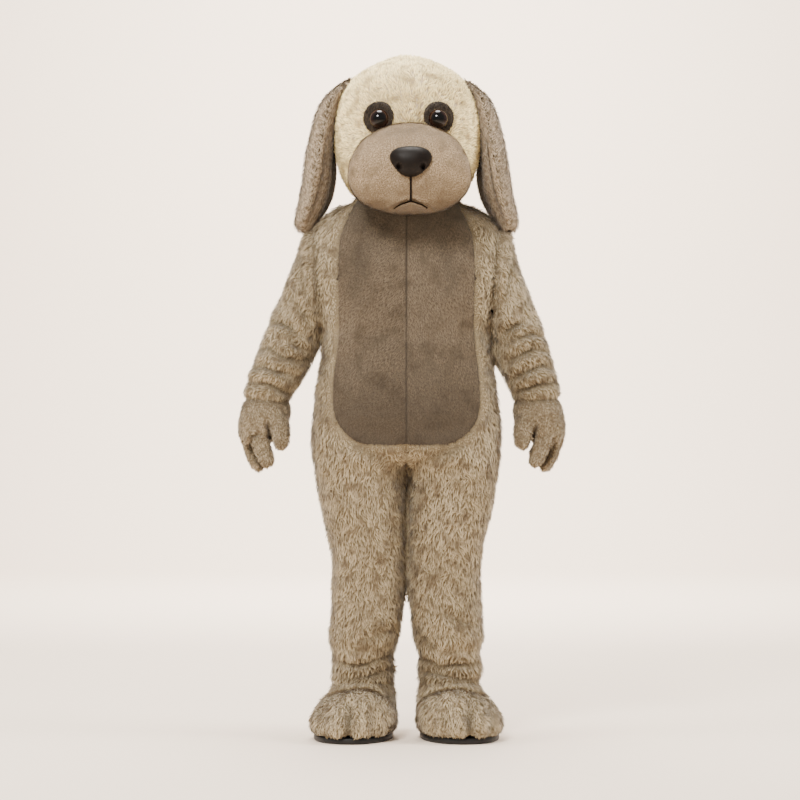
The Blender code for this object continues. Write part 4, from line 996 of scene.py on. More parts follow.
OVER_THE_HEM = 0.044  # how much further up the cover is carried
HEM_STEPS = 4
LEG_REACH = 0.120  # further than the leg's surface is from the ankle's middle
OFF_THE_LEG = (0.007, -0.006)  # half way up the cover lies off the leg, and at its edge in the fur
ANKLE_BULGES = tuple(Bulge((side * x, y, FLOOR + height), reach, out) for side in (-1, 1) for (
    x, y, height, reach, out
) in (
    (0.130, -0.125, 0.100, (0.080, 0.060, 0.045), 0.031),
    (0.205, -0.010, 0.100, (0.040, 0.100, 0.040), 0.014),
    (0.128, -0.105, 0.128, (0.085, 0.060, 0.040), 0.014),
))
SMOOTH_ABOVE = 0.080
SMOOTHING = 14


def out_from_the_ankle(places, normals):
    """The nap of the feet runs out from the ankle and down."""
    side = np.sign(places[:, 0])
    out = np.stack([places[:, 0] - ANKLE_X * side, places[:, 1] - 0.03, np.zeros(len(places))], 1)
    out /= np.maximum(np.linalg.norm(out, axis=1), 1e-4)[:, None]
    out[:, 2] = -0.9
    return out


def short_at_the_sole(places):
    """The feet's pile is clipped where it meets the sole."""
    return np.interp(places[:, 2] - FLOOR, (0.020, 0.055), (0.45, 1.0))


def up_over_the_hem(mesh):
    """Carries the foot's cover on up the ankle, outside the trouser's hem, and rounds its top."""
    work = opened(mesh)
    rim = FLOOR + FOOT_RIM
    edges = [e for e in work.edges if e.is_boundary and all(v.co.z > rim for v in e.verts)]
    axis = ANKLE_X * (1 if edges[0].verts[0].co.x > 0 else -1)
    before = (len(work.faces), len(work.edges))
    start = {}
    for step in range(1, HEM_STEPS + 1):
        share = step / HEM_STEPS
        made = bmesh.ops.extrude_edge_only(work, edges=edges)["geom"]
        edges = [g for g in made if isinstance(g, bmesh.types.BMEdge)]
        for vert in (g for g in made if isinstance(g, bmesh.types.BMVert)):
            first = start.get(tuple(round(c, 5) for c in vert.co), vert.co.copy())
            height = FLOOR + COVER_TOP + OVER_THE_HEM * share
            centre = Vector((axis, 0.010, height))
            way = Vector((centre.x - first.x, centre.y - first.y, 0)).normalized()
            hit = every_solid.ray_cast(centre - way * LEG_REACH, way)[0]
            leg = hit - way * float(np.interp(share, (0.5, 1.0), OFF_THE_LEG))
            vert.co = Vector((
                first.x + (leg.x - first.x) * share, first.y + (leg.y - first.y) * share, height
            ))
            start[tuple(round(c, 5) for c in vert.co)] = first
    in_order(work, *before)
    write_back(work, mesh)
    swell(mesh, ANKLE_BULGES[:3])
    swell(mesh, ANKLE_BULGES[3:])
    work = opened(mesh)
    above = [v for v in work.verts if not v.is_boundary and v.co.z > FLOOR + SMOOTH_ABOVE]
    for _ in range(SMOOTHING):
        bmesh.ops.smooth_vert(
            work, verts=above, factor=0.5, use_axis_x=True, use_axis_y=True, use_axis_z=True
        )
    write_back(work, mesh)


for word in ("right", "left"):
    sew(
        f"foot_{word}", out_from_the_ankle, 29, shape=up_over_the_hem, creases=FOOT_CREASES,
        trim=short_at_the_sole, pile=foot_pile, backing=foot_backing, held="stretched",
        flat=(0.39, 0.48, 0.128),
        Tufts_per_square_metre=62000.0, Length=0.022, Width=0.0034, Lift=0.36, Sway=0.7, Lock_size=0.024,
    )

# The soles: flat black rubber plates with a rounded lower edge, glued and stitched under the feet.
rubber, shader, tree = new_material("sole_black", Specular_IOR_Level=0.35)
black = colour_mix(tree, cloud(tree, 0.03), (0.004, 0.004, 0.004), (0.009, 0.0085, 0.008))
tree.links.new(black, shader.inputs["Base Color"])
tree.links.new(stepped(tree, cloud(tree, 0.012, 4.0), -0.6, 1.6), shader.inputs["Roughness"])
raise_grain(tree, shader, cloud(tree, 0.0025), 0.15, 0.0006)
SOLE_POINTS = 96
SOLE_PROFILE = (  # height, and width as a share of the outline's
    (0.0, 0.90), (0.0, 0.935), (0.0012, 0.955), (0.0035, 0.967), (0.006, 0.970), (0.014, 0.970),
    (0.0165, 0.96),
)


def round_curve(points, count):
    """Points of a smooth closed curve through given ones."""
    total = len(points)
    made = []
    for i in range(count):
        place = i / count * total
        k = int(place)
        t = place - k
        a, b, c, d = (np.array(points[(k + j) % total]) for j in (-1, 0, 1, 2))
        bend = (2 * a - 5 * b + 4 * c - d) * t**2
        made.append(0.5 * (2 * b + (c - a) * t + bend + (3 * b - a - 3 * c + d) * t**3))
    return made


def face_out(mesh):
    """Turns all of a closed mesh's faces outwards."""
    work = opened(mesh)
    bmesh.ops.recalc_face_normals(work, faces=work.faces)
    write_back(work, mesh)
    return mesh


def closed_loft(name, rings):
    """A solid through rings of equal counts, closed by a fan at each end."""
    count = len(rings[0])
    points = [tuple(p) for ring in rings for p in ring]
    faces = []
    for r in range(len(rings) - 1):
        for c in range(count):
            d = (c + 1) % count
            faces.append((r * count + c, r * count + d, (r + 1) * count + d, (r + 1) * count + c))
    for ring, first in ((rings[0], 0), (rings[-1], (len(rings) - 1) * count)):
        points.append(tuple(np.mean(np.array(ring), axis=0)))
        middle = len(points) - 1
        for c in range(count):
            pair = (first + c, first + (c + 1) % count)
            faces.append((pair[1], pair[0], middle) if first == 0 else (pair[0], pair[1], middle))
    mesh = face_out(plain_mesh(name, points, faces))
    mesh.shade_smooth()
    return mesh


for word in ("right", "left"):
    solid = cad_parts[f"sole_{word}"].data
    low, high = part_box(f"sole_{word}")
    rim = {(round(v.co.x, 5), round(v.co.y, 5)) for v in solid.vertices if v.co.z > high.z - 0.0005}
    middle = np.mean(list(rim), axis=0)
    rim = sorted(rim, key=lambda p: math.atan2(p[1] - middle[1], p[0] - middle[0]))
    outline = round_curve(rim, SOLE_POINTS)
    rings = [
        [(*(middle + (p - middle) * share), low.z + rise) for p in outline] for rise, share in SOLE_PROFILE
    ]
    sole = new_object(f"rubber_sole_{word}", closed_loft(f"rubber_sole_{word}", rings))
    cover(sole, rubber)
    fix("sole_rubber", sole)
    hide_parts(f"sole_{word}")

# The head: a round foam shell in cream fur, with one cover for the face and one for the back,
# sewn from ear to ear. Its pile is short, tipped with beige, and fans out from the muzzle.
HEAD_FUR = Fur(
    (0.44, 0.335, 0.190), (0.95, 0.745, 0.360), (1.0, 0.885, 0.500), (0.50, 0.375, 0.185), 0.034
)
head_pile = pile_finish("head_pile", HEAD_FUR)
head_backing = backing_finish("head_backing", (0.60, 0.48, 0.32))
HEAD_X = 0.003
HEAD_MIDDLE = Vector((HEAD_X, 0.010, 0.27))
NAP_START = np.array([0.01, -0.26, 0.16])  # where the head's nap fans out from


def out_of_the_head(face):
    """Whether a face is on the outside of the head's wall."""
    out = (face.calc_center_median() - HEAD_MIDDLE).normalized()
    return face.normal.dot(out) > 0.35


def from_the_muzzle(places, normals):
    """The nap of the head fans out from the muzzle."""
    return places - NAP_START


def shaded_below(mesh):
    """Painted shade: the head's pile is a little darker where it turns under, away from the light."""
    paint_shade(mesh, lambda places, normals: 0.50 * np.clip(-normals[:, 2] * 1.3 + 0.1, 0, 1))


for half in ("front", "back"):
    sew(
        f"head_{half}", from_the_muzzle, 31, sink=0.0045, keep=out_of_the_head, shape=shaded_below,
        pile=head_pile, backing=head_backing, held="stretched", slot="head_fur", flat=(0.65, 0.55, 0.24),
        Tufts_per_square_metre=62000.0, Length=0.0165, Width=0.0027, Lift=0.36, Sway=0.9, Lock_size=0.024,
    )

# The muzzle: smooth short plush drawn over foam, fullest in the cheeks at each side of the mouth,
# and the chin below the mouth in a paler plush.
HeadRing = namedtuple("HeadRing", "height width middle depth square")
HEAD_RINGS = (
    HeadRing(1.899, 0.018, 0.016, 0.018, 2.0), HeadRing(1.847, 0.140, 0.014, 0.142, 2.0),
    HeadRing(1.783, 0.192, 0.012, 0.192, 2.0), HeadRing(1.733, 0.205, 0.011, 0.204, 2.0),
    HeadRing(1.682, 0.208, 0.010, 0.208, 2.0), HeadRing(1.634, 0.207, 0.010, 0.207, 2.0),
    HeadRing(1.597, 0.200, 0.010, 0.202, 2.0), HeadRing(1.556, 0.187, 0.010, 0.192, 2.0),
    HeadRing(1.521, 0.168, 0.010, 0.176, 2.0), HeadRing(1.499, 0.150, 0.010, 0.157, 2.0),
)
MUZZLE_X = 0.008
MUZZLE_RINGS = (
    HeadRing(1.692, 0.008, -0.176, 0.006, 2.0), HeadRing(1.688, 0.030, -0.175, 0.030, 2.0),
    HeadRing(1.675, 0.077, -0.172, 0.057, 2.1), HeadRing(1.652, 0.118, -0.168, 0.087, 2.3),
    HeadRing(1.612, 0.150, -0.168, 0.113, 2.4), HeadRing(1.561, 0.167, -0.190, 0.103, 2.5),
    HeadRing(1.516, 0.165, -0.205, 0.086, 2.5), HeadRing(1.486, 0.149, -0.203, 0.079, 2.5),
    HeadRing(1.461, 0.119, -0.203, 0.066, 2.4), HeadRing(1.445, 0.081, -0.198, 0.049, 2.2),
    HeadRing(1.438, 0.040, -0.196, 0.026, 2.0), HeadRing(1.436, 0.010, -0.195, 0.008, 2.0),
)


def read_rings(rings, field, heights):
    """A column of a ring table at any heights, on a smooth curve."""
    knots = np.array([r.height for r in rings])[::-1]
    values = np.array([getattr(r, field) for r in rings])[::-1]
    slopes = np.gradient(values, knots)
    i = np.clip(np.searchsorted(knots, heights, side="right") - 1, 0, len(knots) - 2)
    span = knots[i + 1] - knots[i]
    t = np.clip((heights - knots[i]) / span, 0, 1)
    rise = values[i + 1] - values[i]
    a = slopes[i] * span
    b = slopes[i + 1] * span
    return values[i] + a * t + (3 * rise - 2 * a - b) * t**2 + (a + b - 2 * rise) * t**3


MUZZLE_TOP = 1.6915
MUZZLE_BOTTOM = 1.4365
MUZZLE_ROWS = 64
MUZZLE_SIDES = 118
EVEN_SHARE = 0.45  # how far the rows lie evenly
EASED_SHARE = 0.55  # and how far they close up towards the top and the bottom
INSIDE = 0.90  # faces further inside the head than this are left out


def across_the_head(points):
    """The square of how far out points lie in the head at their heights, where 1 is its surface."""
    heights = points[:, 2] + SHOULDER
    width, middle, depth = (read_rings(HEAD_RINGS, f, heights) for f in ("width", "middle", "depth"))
    return ((points[:, 0] - HEAD_X) / width) ** 2 + ((points[:, 1] - middle) / depth) ** 2


def muzzle_rows():
    """The muzzle's surface as rows of points, level by level."""
    even = np.linspace(0, 1, MUZZLE_ROWS)
    eased = 0.5 - 0.5 * np.cos(np.pi * even)
    heights = MUZZLE_TOP + (MUZZLE_BOTTOM - MUZZLE_TOP) * (EVEN_SHARE * even + EASED_SHARE * eased)
    turns = np.linspace(0, 2 * np.pi, MUZZLE_SIDES, endpoint=False)
    c, s = np.cos(turns), np.sin(turns)
    grid = []
    for height in heights:
        width, middle, depth, square = (
            float(read_rings(MUZZLE_RINGS, f, np.array([height]))[0])
            for f in ("width", "middle", "depth", "square")
        )
        x = MUZZLE_X + width * np.sign(c) * np.abs(c) ** (2 / square)
        y = middle + depth * np.sign(s) * np.abs(s) ** (2 / square)
        grid.append(np.stack([x, y, np.full(MUZZLE_SIDES, height - SHOULDER)], 1))
    return np.array(grid)


MOUTH_X = 0.0115
MOUTH_TOP = 1.540
MOUTH_FORK = 1.468
LIPS = (
    (-0.052, 1.441), (-0.036, 1.449), (-0.016, 1.459), (MOUTH_X, MOUTH_FORK), (0.040, 1.459),
    (0.060, 1.449), (0.076, 1.441),
)
MUZZLE_CREASES = (
    Crease(
        FRONT, 0.0040, 0.0060, ((MOUTH_X, 1.57), (MOUTH_X, 1.50), (MOUTH_X, MOUTH_FORK), (MOUTH_X, 1.450)),
    ),
    Crease(FRONT, 0.0042, 0.0085, ((-0.075, 1.434), *LIPS, (0.098, 1.434))),
    Crease(FRONT, 0.0220, 0.0030, ((MOUTH_X, 1.58), (MOUTH_X, 1.50), (MOUTH_X, 1.43))),
    Crease(FRONT, 0.0200, 0.0022, ((-0.02, 1.55), (-0.05, 1.52), (-0.05, 1.47))),
    Crease(FRONT, 0.0200, 0.0022, ((0.05, 1.55), (0.08, 1.52), (0.08, 1.47))),
    Crease(FRONT, 0.0200, 0.0022, ((-0.06, 1.650), (0.0, 1.668), (0.07, 1.650))),
    # A broad shallow dip along the bottom, there mostly for the painted shade it brings.
    Crease(
        FRONT, 0.0500, 0.0028,
        ((-0.190, 1.50), (-0.12, 1.456), (0.0, 1.446), (0.14, 1.456), (0.205, 1.50)),
    ),
)
CHIN_BACK = 0.0035  # how far the chin stands back from the lip
RIM_DIP = 0.0065  # how far the cover draws in where it meets the head
RIM_WIDTH = 0.055
# how dark the painted shade is where the cover draws in under the head's fur
RIM_SHADE = 0.85
RIM_LOWEST = 1.47


def lip_levels(across):
    """The lips' level, from the origin, at some places across."""
    return np.interp(across, [p[0] for p in LIPS], [p[1] for p in LIPS]) - SHOULDER


def build_muzzle():
    """The whole muzzle as one closed form, with its mouth, its cheeks and its edge at the head."""
    grid = muzzle_rows()
    rows, sides = grid.shape[:2]
    faces = [
        (r * sides + c, (r + 1) * sides + c, (r + 1) * sides + (c + 1) % sides, r * sides + (c + 1) % sides)
        for r in range(rows - 1) for c in range(sides)
    ]
    faces.append(tuple(range(sides)))
    faces.append(tuple((rows - 1) * sides + c for c in reversed(range(sides))))
    mesh = face_out(plain_mesh("muzzle", grid.reshape(-1, 3).tolist(), faces))
    lay(mesh, 0.0020, MUZZLE_CREASES, ripple=0.0022, ripple_size=0.06)
    places, normals = places_and_normals(mesh)
    below = np.clip((lip_levels(places[:, 0]) - places[:, 2]) / 0.006, 0, 1)
    below = below * np.clip(-normals[:, 1] * 2, 0, 1)
    clear = np.clip(np.sqrt(across_the_head(places)) - 0.95, 0, None)
    rim = np.exp(-((clear / RIM_WIDTH) ** 2)) * (places[:, 2] + SHOULDER > RIM_LOWEST)
    move_out(mesh, places, normals, -CHIN_BACK * below - RIM_DIP * rim)
    # painted shade along the edge, in under the head's fur
    press(mesh, RIM_SHADE * rim**2)
    return mesh


def muzzle_piece(name, wanted, source):
    """The part of the muzzle's surface that one cover takes."""
    work = opened(source)
    middles = np.array([f.calc_center_median() for f in work.faces])
    drop = (across_the_head(middles) < INSIDE) | ~wanted(middles)
    bmesh.ops.delete(work, geom=[f for f, gone in zip(work.faces, drop) if gone], context="FACES")
    mesh = bpy.data.meshes.new(name)
    write_back(work, mesh)
    return new_object(name, mesh)


def above_the_lips(middles):
    """What the muzzle's cover takes: everything above the lips, and behind the chin."""
    return (middles[:, 2] > lip_levels(middles[:, 0])) | (middles[:, 1] > -0.19)


def fanned(places, normals):
    """The nap of the muzzle fans out from its middle, and a little down."""
    out = places - np.array([MUZZLE_X, 0.0, 0.16])
    out[:, 1] *= 0.3
    out[:, 2] -= 0.06
    return out


def short_at_the_mouth(places):
    """The muzzle's pile is clipped beside the mouth's seam and the lips."""
    flat = places[:, [0, 2]] + np.array([0.0, SHOULDER])
    seam_gap = near_path(flat, np.array([(MOUTH_X, MOUTH_TOP), (MOUTH_X, MOUTH_FORK)]))[0]
    lip_gap = near_path(flat, np.array(LIPS))[0]
    at_seam = np.interp(seam_gap, (0.004, 0.010), (0.35, 1.0))
    return np.minimum(at_seam, np.interp(lip_gap, (0.002, 0.010), (0.45, 1.0)))


def shaded_underneath(places, normals):
    """Painted shade: plush is darker where it turns under."""
    return 0.75 * np.clip(-normals[:, 2] * 1.3, 0, 1)


MUZZLE_PLUSH = Fur(
    (0.085, 0.056, 0.030), (0.33, 0.235, 0.138), (0.55, 0.415, 0.262), (0.165, 0.113, 0.062), 0.038
)
CHIN_PLUSH = Fur(
    (0.15, 0.105, 0.065), (0.37, 0.275, 0.18), (0.52, 0.41, 0.285), (0.26, 0.19, 0.12), 0.040
)
muzzle_mesh = build_muzzle()
for name, plush, wanted, flat in (
    ("muzzle", MUZZLE_PLUSH, above_the_lips, (0.58, 0.46, 0.161)),
    ("chin", CHIN_PLUSH, lambda middles: ~above_the_lips(middles), (0.19, 0.09, 0.0083)),
):
    cloth = muzzle_piece(f"{name}_cloth", wanted, muzzle_mesh)
    # painted shade where the plush turns under
    paint_shade(cloth.data, shaded_underneath)
    comb(cloth.data, fanned, short_at_the_mouth)
    tufts = grow_pile(
        cloth, pile_finish(f"{name}_pile", plush, sheen=0.15), 37, Tufts_per_square_metre=88000.0,
        Length=0.0088, Width=0.0019, Lift=0.30, Sway=0.60, Lock_size=0.035,
    )
    turn_in_edges(cloth.data, 0.004)
    thicken(cloth)
    cover(cloth, backing_finish(f"{name}_backing", plush.middle))
    fix(f"{name}_plush", cloth, tufts)
    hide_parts(name)

# The mouth: close satin stitches in dark thread, in one line down from the nose and one out along
# the two lips. Each stitch is laid across its line.
def surface_of(mesh):
    """A mesh's surface, for rays to meet."""
    return BVHTree.FromPolygons([v.co for v in mesh.vertices], [tuple(p.vertices) for p in mesh.polygons])


muzzle_skin = surface_of(muzzle_mesh)
BESIDE = 0.008  # the muzzle's surface is felt this far to each side of the mouth's groove
THREAD_SUNK = 0.0024


def on_the_muzzle(x, height):
    """A place level with the muzzle's surface at each side of the mouth's groove."""
    beside = [
        muzzle_skin.ray_cast(Vector((x + gap, -1.0, height - SHOULDER)), Vector((0, 1, 0)))[0].y
        for gap in (-BESIDE, BESIDE)
    ]
    return Vector((x, sum(beside) / 2 - THREAD_SUNK, height - SHOULDER))


def stitch_tree():
    """Short stitches set across a line, close beside each other."""
    tree = new_group("satin_stitch", (
        ("Line", "Geometry", None), ("Spacing", "Float", 0.0011), ("Length", "Float", 0.0042),
        ("Thread", "Float", 0.0010), ("Finish", "Material", None),
    ), "Stitches")
    node = node_maker(tree)
    given = tree.nodes.new("NodeGroupInput").outputs
    curve = node("GeometryNodeMeshToCurve", {"Mesh": given["Line"]}).outputs[0]
    spaced = {"Curve": curve, "Length": given["Spacing"]}
    points = node("GeometryNodeCurveToPoints", spaced, mode="LENGTH").outputs
    bead = node("GeometryNodeMeshUVSphere", {"Segments": 7, "Rings": 4, "Radius": 0.5}).outputs["Mesh"]
    thick = node("ShaderNodeMath", {0: given["Thread"], 1: 2.0}, operation="MULTIPLY").outputs[0]
    size = node("ShaderNodeCombineXYZ", {"X": given["Length"], "Y": thick, "Z": thick}).outputs[0]
    turned = node("FunctionNodeAxesToRotation", {
        "Primary Axis": points["Tangent"], "Secondary Axis": (0, -1, 0),
    }, primary_axis="Y", secondary_axis="Z").outputs[0]
    placed = node("GeometryNodeInstanceOnPoints", {
        "Points": points["Points"], "Instance": bead, "Rotation": turned, "Scale": size,
    }).outputs[0]
    real = node("GeometryNodeRealizeInstances", {0: placed}).outputs[0]
    done = node("GeometryNodeSetMaterial", {"Geometry": real, "Material": given["Finish"]}).outputs[0]
    tree.links.new(done, tree.nodes.new("NodeGroupOutput").inputs[0])
    return tree


stitch_group = stitch_tree()


def stitch_along(name, points, finish, **sizes):
    """Stitches along a line of points, as an object of their own."""
    steps = [(i, i + 1) for i in range(len(points) - 1)]
    sewn = new_object(name, plain_mesh(name, points, edges=steps))
    run_group(sewn, stitch_group, Finish=finish, **sizes)
    return sewn


thread, shader, tree = new_material("mouth_thread", Roughness=0.9, Specular_IOR_Level=0.12)
dark = colour_mix(tree, cloud(tree, 0.002), (0.004, 0.0026, 0.0018), (0.012, 0.008, 0.005))
tree.links.new(dark, shader.inputs["Base Color"])
for name, line, length in (
    ("mouth_line", [(MOUTH_X, h) for h in np.linspace(MOUTH_TOP, MOUTH_FORK, 40)], 0.0068),
    ("lip_line", [(x, np.interp(x, *zip(*LIPS))) for x in np.linspace(-0.034, 0.056, 40)], 0.0046),
):
    sewn = stitch_along(name, [on_the_muzzle(x, h) for x, h in line], thread, Length=length)
    cover(sewn, thread)
    sewn.data.shade_smooth()
    fix("nose_plastic", sewn)

# The nose: one satin plastic moulding, wide at the top, with a nostril low at each side.
NOSE_MIDDLE = np.array([0.0115, -0.287, 0.1415])
NOSE_HALF = np.array([0.0540, 0.0400, 0.0415])
NOSTRIL_PLACE = np.array([0.0320, -0.026, -0.0150])
NOSTRIL_HALF = np.array([0.0060, 0.030, 0.0075])
NOSTRIL_DEEP = np.array([0, 0.017, 0.0])


def nose_rings(rows, sides):
    """The nose level by level: wider above, narrower below, pressed in at the nostrils."""
    rings = []
    for r in range(1, rows):
        rise = -math.cos(math.pi * r / rows)
        reach = math.sin(math.pi * r / rows) ** 0.80
        wide = 1 + 0.30 * rise - 0.10 * max(0.0, rise) ** 3
        ring = []
        for c in range(sides):
            turn = 2 * math.pi * c / sides
            across = math.copysign(abs(math.cos(turn)) ** 0.86, math.cos(turn))
            out = math.copysign(abs(math.sin(turn)) ** 0.92, math.sin(turn))
            point = NOSE_MIDDLE + NOSE_HALF * np.array([wide * reach * across, reach * out, rise])
            for side in (-1, 1):
                hole = NOSE_MIDDLE + NOSTRIL_PLACE * (side, 1, 1)
                gap = (point - hole) / NOSTRIL_HALF
                point = point + NOSTRIL_DEEP * math.exp(-float(gap @ gap) ** 2)
            ring.append(point)
        rings.append(ring)
    return rings


nose_gloss, shader, tree = new_material("nose_satin", Specular_IOR_Level=0.13)
black = colour_mix(tree, cloud(tree, 0.02), (0.0045, 0.0030, 0.0022), (0.0085, 0.0060, 0.0046))
tree.links.new(black, shader.inputs["Base Color"])
tree.links.new(stepped(tree, cloud(tree, 0.008, 3.0), -1.6, 2.6), shader.inputs["Roughness"])
raise_grain(tree, shader, cloud(tree, 0.0016, 3.0), 0.12, 0.0004)
nose = new_object("moulded_nose", closed_loft("moulded_nose", nose_rings(64, 120)))
cover(nose, nose_gloss)
fix("nose_plastic", nose)
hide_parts("nose")

# The eyes: glossy domes, black with a dark red-brown rim, each sewn through an oval patch of
# dark short plush.
EYE_PLUSH = Fur(
    (0.007, 0.0045, 0.0028), (0.024, 0.0155, 0.0090), (0.075, 0.052, 0.032), (0.014, 0.0090, 0.0054), 0.012
)
patch_pile = pile_finish("eye_patch_pile", EYE_PLUSH, sheen=0.1)
patch_backing = backing_finish("eye_patch_backing", EYE_PLUSH.middle)
FACE_X = 0.006  # the middle between the eyes
EYE_PLACE = Vector((0.080, -0.187, 0.268))  # across from the middle, along and up
EYE_RADIUS = 0.0262
EYE_ROWS = 32
EYE_SIDES = 48
PATCH_PLACE = Vector((0.0825, 0.0, 0.275))
PATCH_HALF = (0.0405, 0.0430)
PATCH_ROWS = 16
PATCH_LIFT = 0.0035


def oval_on_the_head(middle_x):
    """An oval of cloth lying on the head, seen from in front."""
    points = []
    for r in range(PATCH_ROWS + 1):
        for c in range(EYE_SIDES if r else 1):
            turn = 2 * math.pi * c / EYE_SIDES
            x = middle_x + PATCH_HALF[0] * r / PATCH_ROWS * math.cos(turn)
            z = PATCH_PLACE.z + PATCH_HALF[1] * r / PATCH_ROWS * math.sin(turn)
            hit, normal, _, _ = head_skin.ray_cast(Vector((x, -1.0, z)), Vector((0, 1, 0)))
            points.append(hit + normal * PATCH_LIFT)
    faces = [(0, 1 + c, 1 + (c + 1) % EYE_SIDES) for c in range(EYE_SIDES)]
    for r in range(PATCH_ROWS - 1):
        first = 1 + r * EYE_SIDES
        for c in range(EYE_SIDES):
            d = (c + 1) % EYE_SIDES
            faces.append((first + c, first + EYE_SIDES + c, first + EYE_SIDES + d, first + d))
    mesh = plain_mesh("oval", points, faces)
    mesh.update()
    return mesh


def eye_rings(middle):
    """A ball's levels, from its lowest to its highest."""
    rings = []
    for r in range(1, EYE_ROWS):
        rise = -math.cos(math.pi * r / EYE_ROWS)
        flat = math.sin(math.pi * r / EYE_ROWS)
        rings.append([
            middle + EYE_RADIUS * Vector((flat * math.cos(t), flat * math.sin(t), rise))
            for t in np.linspace(0, 2 * math.pi, EYE_SIDES, endpoint=False)
        ])
    return rings


def eye_finish(name, middle):
    """A deep gloss, black in the middle with a dark red-brown ring round it."""
    material, shader, tree = new_material(name, Roughness=0.05, Specular_IOR_Level=0.28)
    node = node_maker(tree)
    centred = node("ShaderNodeMapping", {
        "Vector": node("ShaderNodeTexCoord").outputs["Object"],
        "Location": (-middle.x, 0, -middle.z), "Scale": (1, 0, 1),
    }).outputs[0]
    reach = node("ShaderNodeVectorMath", {0: centred}, operation="LENGTH").outputs["Value"]
    ring = stepped(tree, reach, 0.55 * EYE_RADIUS, 0.86 * EYE_RADIUS)
    gloss = colour_mix(tree, ring, (0.0015, 0.0012, 0.0011), (0.014, 0.0045, 0.0027))
    tree.links.new(gloss, shader.inputs["Base Color"])
    return material


head_skin = surface_of(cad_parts["head_front"].data)
for side, word in ((-1, "right"), (1, "left")):
    oval = new_object(f"eye_patch_{word}_cloth", oval_on_the_head(FACE_X + side * PATCH_PLACE.x))
    lay(oval.data, 0.0, seam=Seam(0.004, 0.003, 0.0), ripple=0.0)
    comb(oval.data, downwards)
    tufts = grow_pile(
        oval, patch_pile, 41, Tufts_per_square_metre=170000.0, Length=0.0085, Width=0.0016, Lift=0.50,
        Sway=0.8, Lock_size=0.01,
    )
    turn_in_edges(oval.data, 0.003)
    thicken(oval)
    cover(oval, patch_backing)
    fix("eye_patch_plush", oval, tufts)
    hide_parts(f"eye_patch_{word}")
    middle = Vector((FACE_X + side * EYE_PLACE.x, EYE_PLACE.y, EYE_PLACE.z))
    eye = new_object(f"glossy_eye_{word}", closed_loft(f"glossy_eye_{word}", eye_rings(middle)))
    cover(eye, eye_finish(f"eye_gloss_{word}", middle))
    fix("eye_plastic", eye)
    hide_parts(f"eye_{word}")

# The ears: thinly padded lobes, each an outer and an inner face sewn edge to edge and caught into
# the head's seam. The pile lies down and in towards the edge, like a plait.
EAR_FUR = Fur(
    (0.135, 0.096, 0.060), (0.33, 0.252, 0.162), (0.60, 0.480, 0.338), (0.18, 0.128, 0.078), 0.014
)
ear_pile = pile_finish("ear_pile", EAR_FUR)
ear_backing = backing_finish("ear_backing", EAR_FUR.middle)


EDGE_BULGES = tuple(Bulge((side * 0.28, -0.02, 0.19), (0.05, 0.08, 0.12), 0.008) for side in (-1, 1))
FRONT_EDGE = -0.02  # an ear's open edge further forwards than this is its front edge
SEAM_TOWARDS = 0.023  # how far the front seam is drawn towards the head
ROLL_OUT = {1: -0.003, -1: 0.010}  # how far each face rolls round the edge
ROLL_FORWARDS = 0.006
SEAM_HEIGHTS = np.linspace(-0.012, 0.345, 90)
NEAREST = 12  # points of a face in which its foremost one is looked for at each height


def plaited(facing):
    """The nap of an ear runs down, and in to the seam along its front edge, like a plait."""
    def way(places, normals):
        side = np.sign(places[:, 0])
        edge = np.clip((0.03 - places[:, 1]) / 0.06, 0, 1)
        return np.stack([facing * -0.85 * side * edge, -0.35 * edge, -np.ones(len(places))], 1)
    return way


def roll_front_edge(mesh, facing):
    """Rolls an ear's stuffed front edge, so that its seam lies along the middle of the roll."""
    work = opened(mesh)
    for _ in range(2):
        near = [v for v in work.verts if v.is_boundary and v.co.y < FRONT_EDGE]
        edges = list(dict.fromkeys(e for v in near for e in v.link_edges if not e.is_boundary))
        bmesh.ops.subdivide_edges(work, edges=edges, cuts=1, use_grid_fill=True)
    write_back(work, mesh)
    swell(mesh, EDGE_BULGES)
    places, _ = places_and_normals(mesh)
    towards = -np.sign(places[:, 0])
    front = np.clip((0.02 - places[:, 1]) / 0.09, 0, 1)
    roll = np.sin(np.pi * front) ** 2
    tall = np.clip((0.40 - places[:, 2]) / 0.08, 0, 1)
    places[:, 0] += towards * tall * (SEAM_TOWARDS * front**4 + ROLL_OUT[facing] * roll)
    places[:, 1] -= tall * ROLL_FORWARDS * roll
    mesh.vertices.foreach_set("co", places.ravel())
    mesh.update()
    # The inner face is given painted shade towards its back, deep in beside the head.
    if facing < 0:
        press(mesh, np.clip((places[:, 1] + 0.026) / 0.030, 0, 1) * 0.9 * tall)


for word in ("right", "left"):
    for face, facing, flat in (("outer", 1, (0.20, 0.47, 0.077)), ("inner", -1, (0.18, 0.44, 0.053))):
        sew(
            f"ear_{face}_{word}", plaited(facing), 43, sink=0.0025, pile=ear_pile, backing=ear_backing,
            seam=Seam(0.0048, 0.007, 1.0), shape=lambda mesh: roll_front_edge(mesh, facing),
            slot="ear_fur", flat=flat,
            Tufts_per_square_metre=66000.0, Length=0.0175, Width=0.0030, Lift=0.26, Sway=0.24,
            Lock_size=0.012,
        )

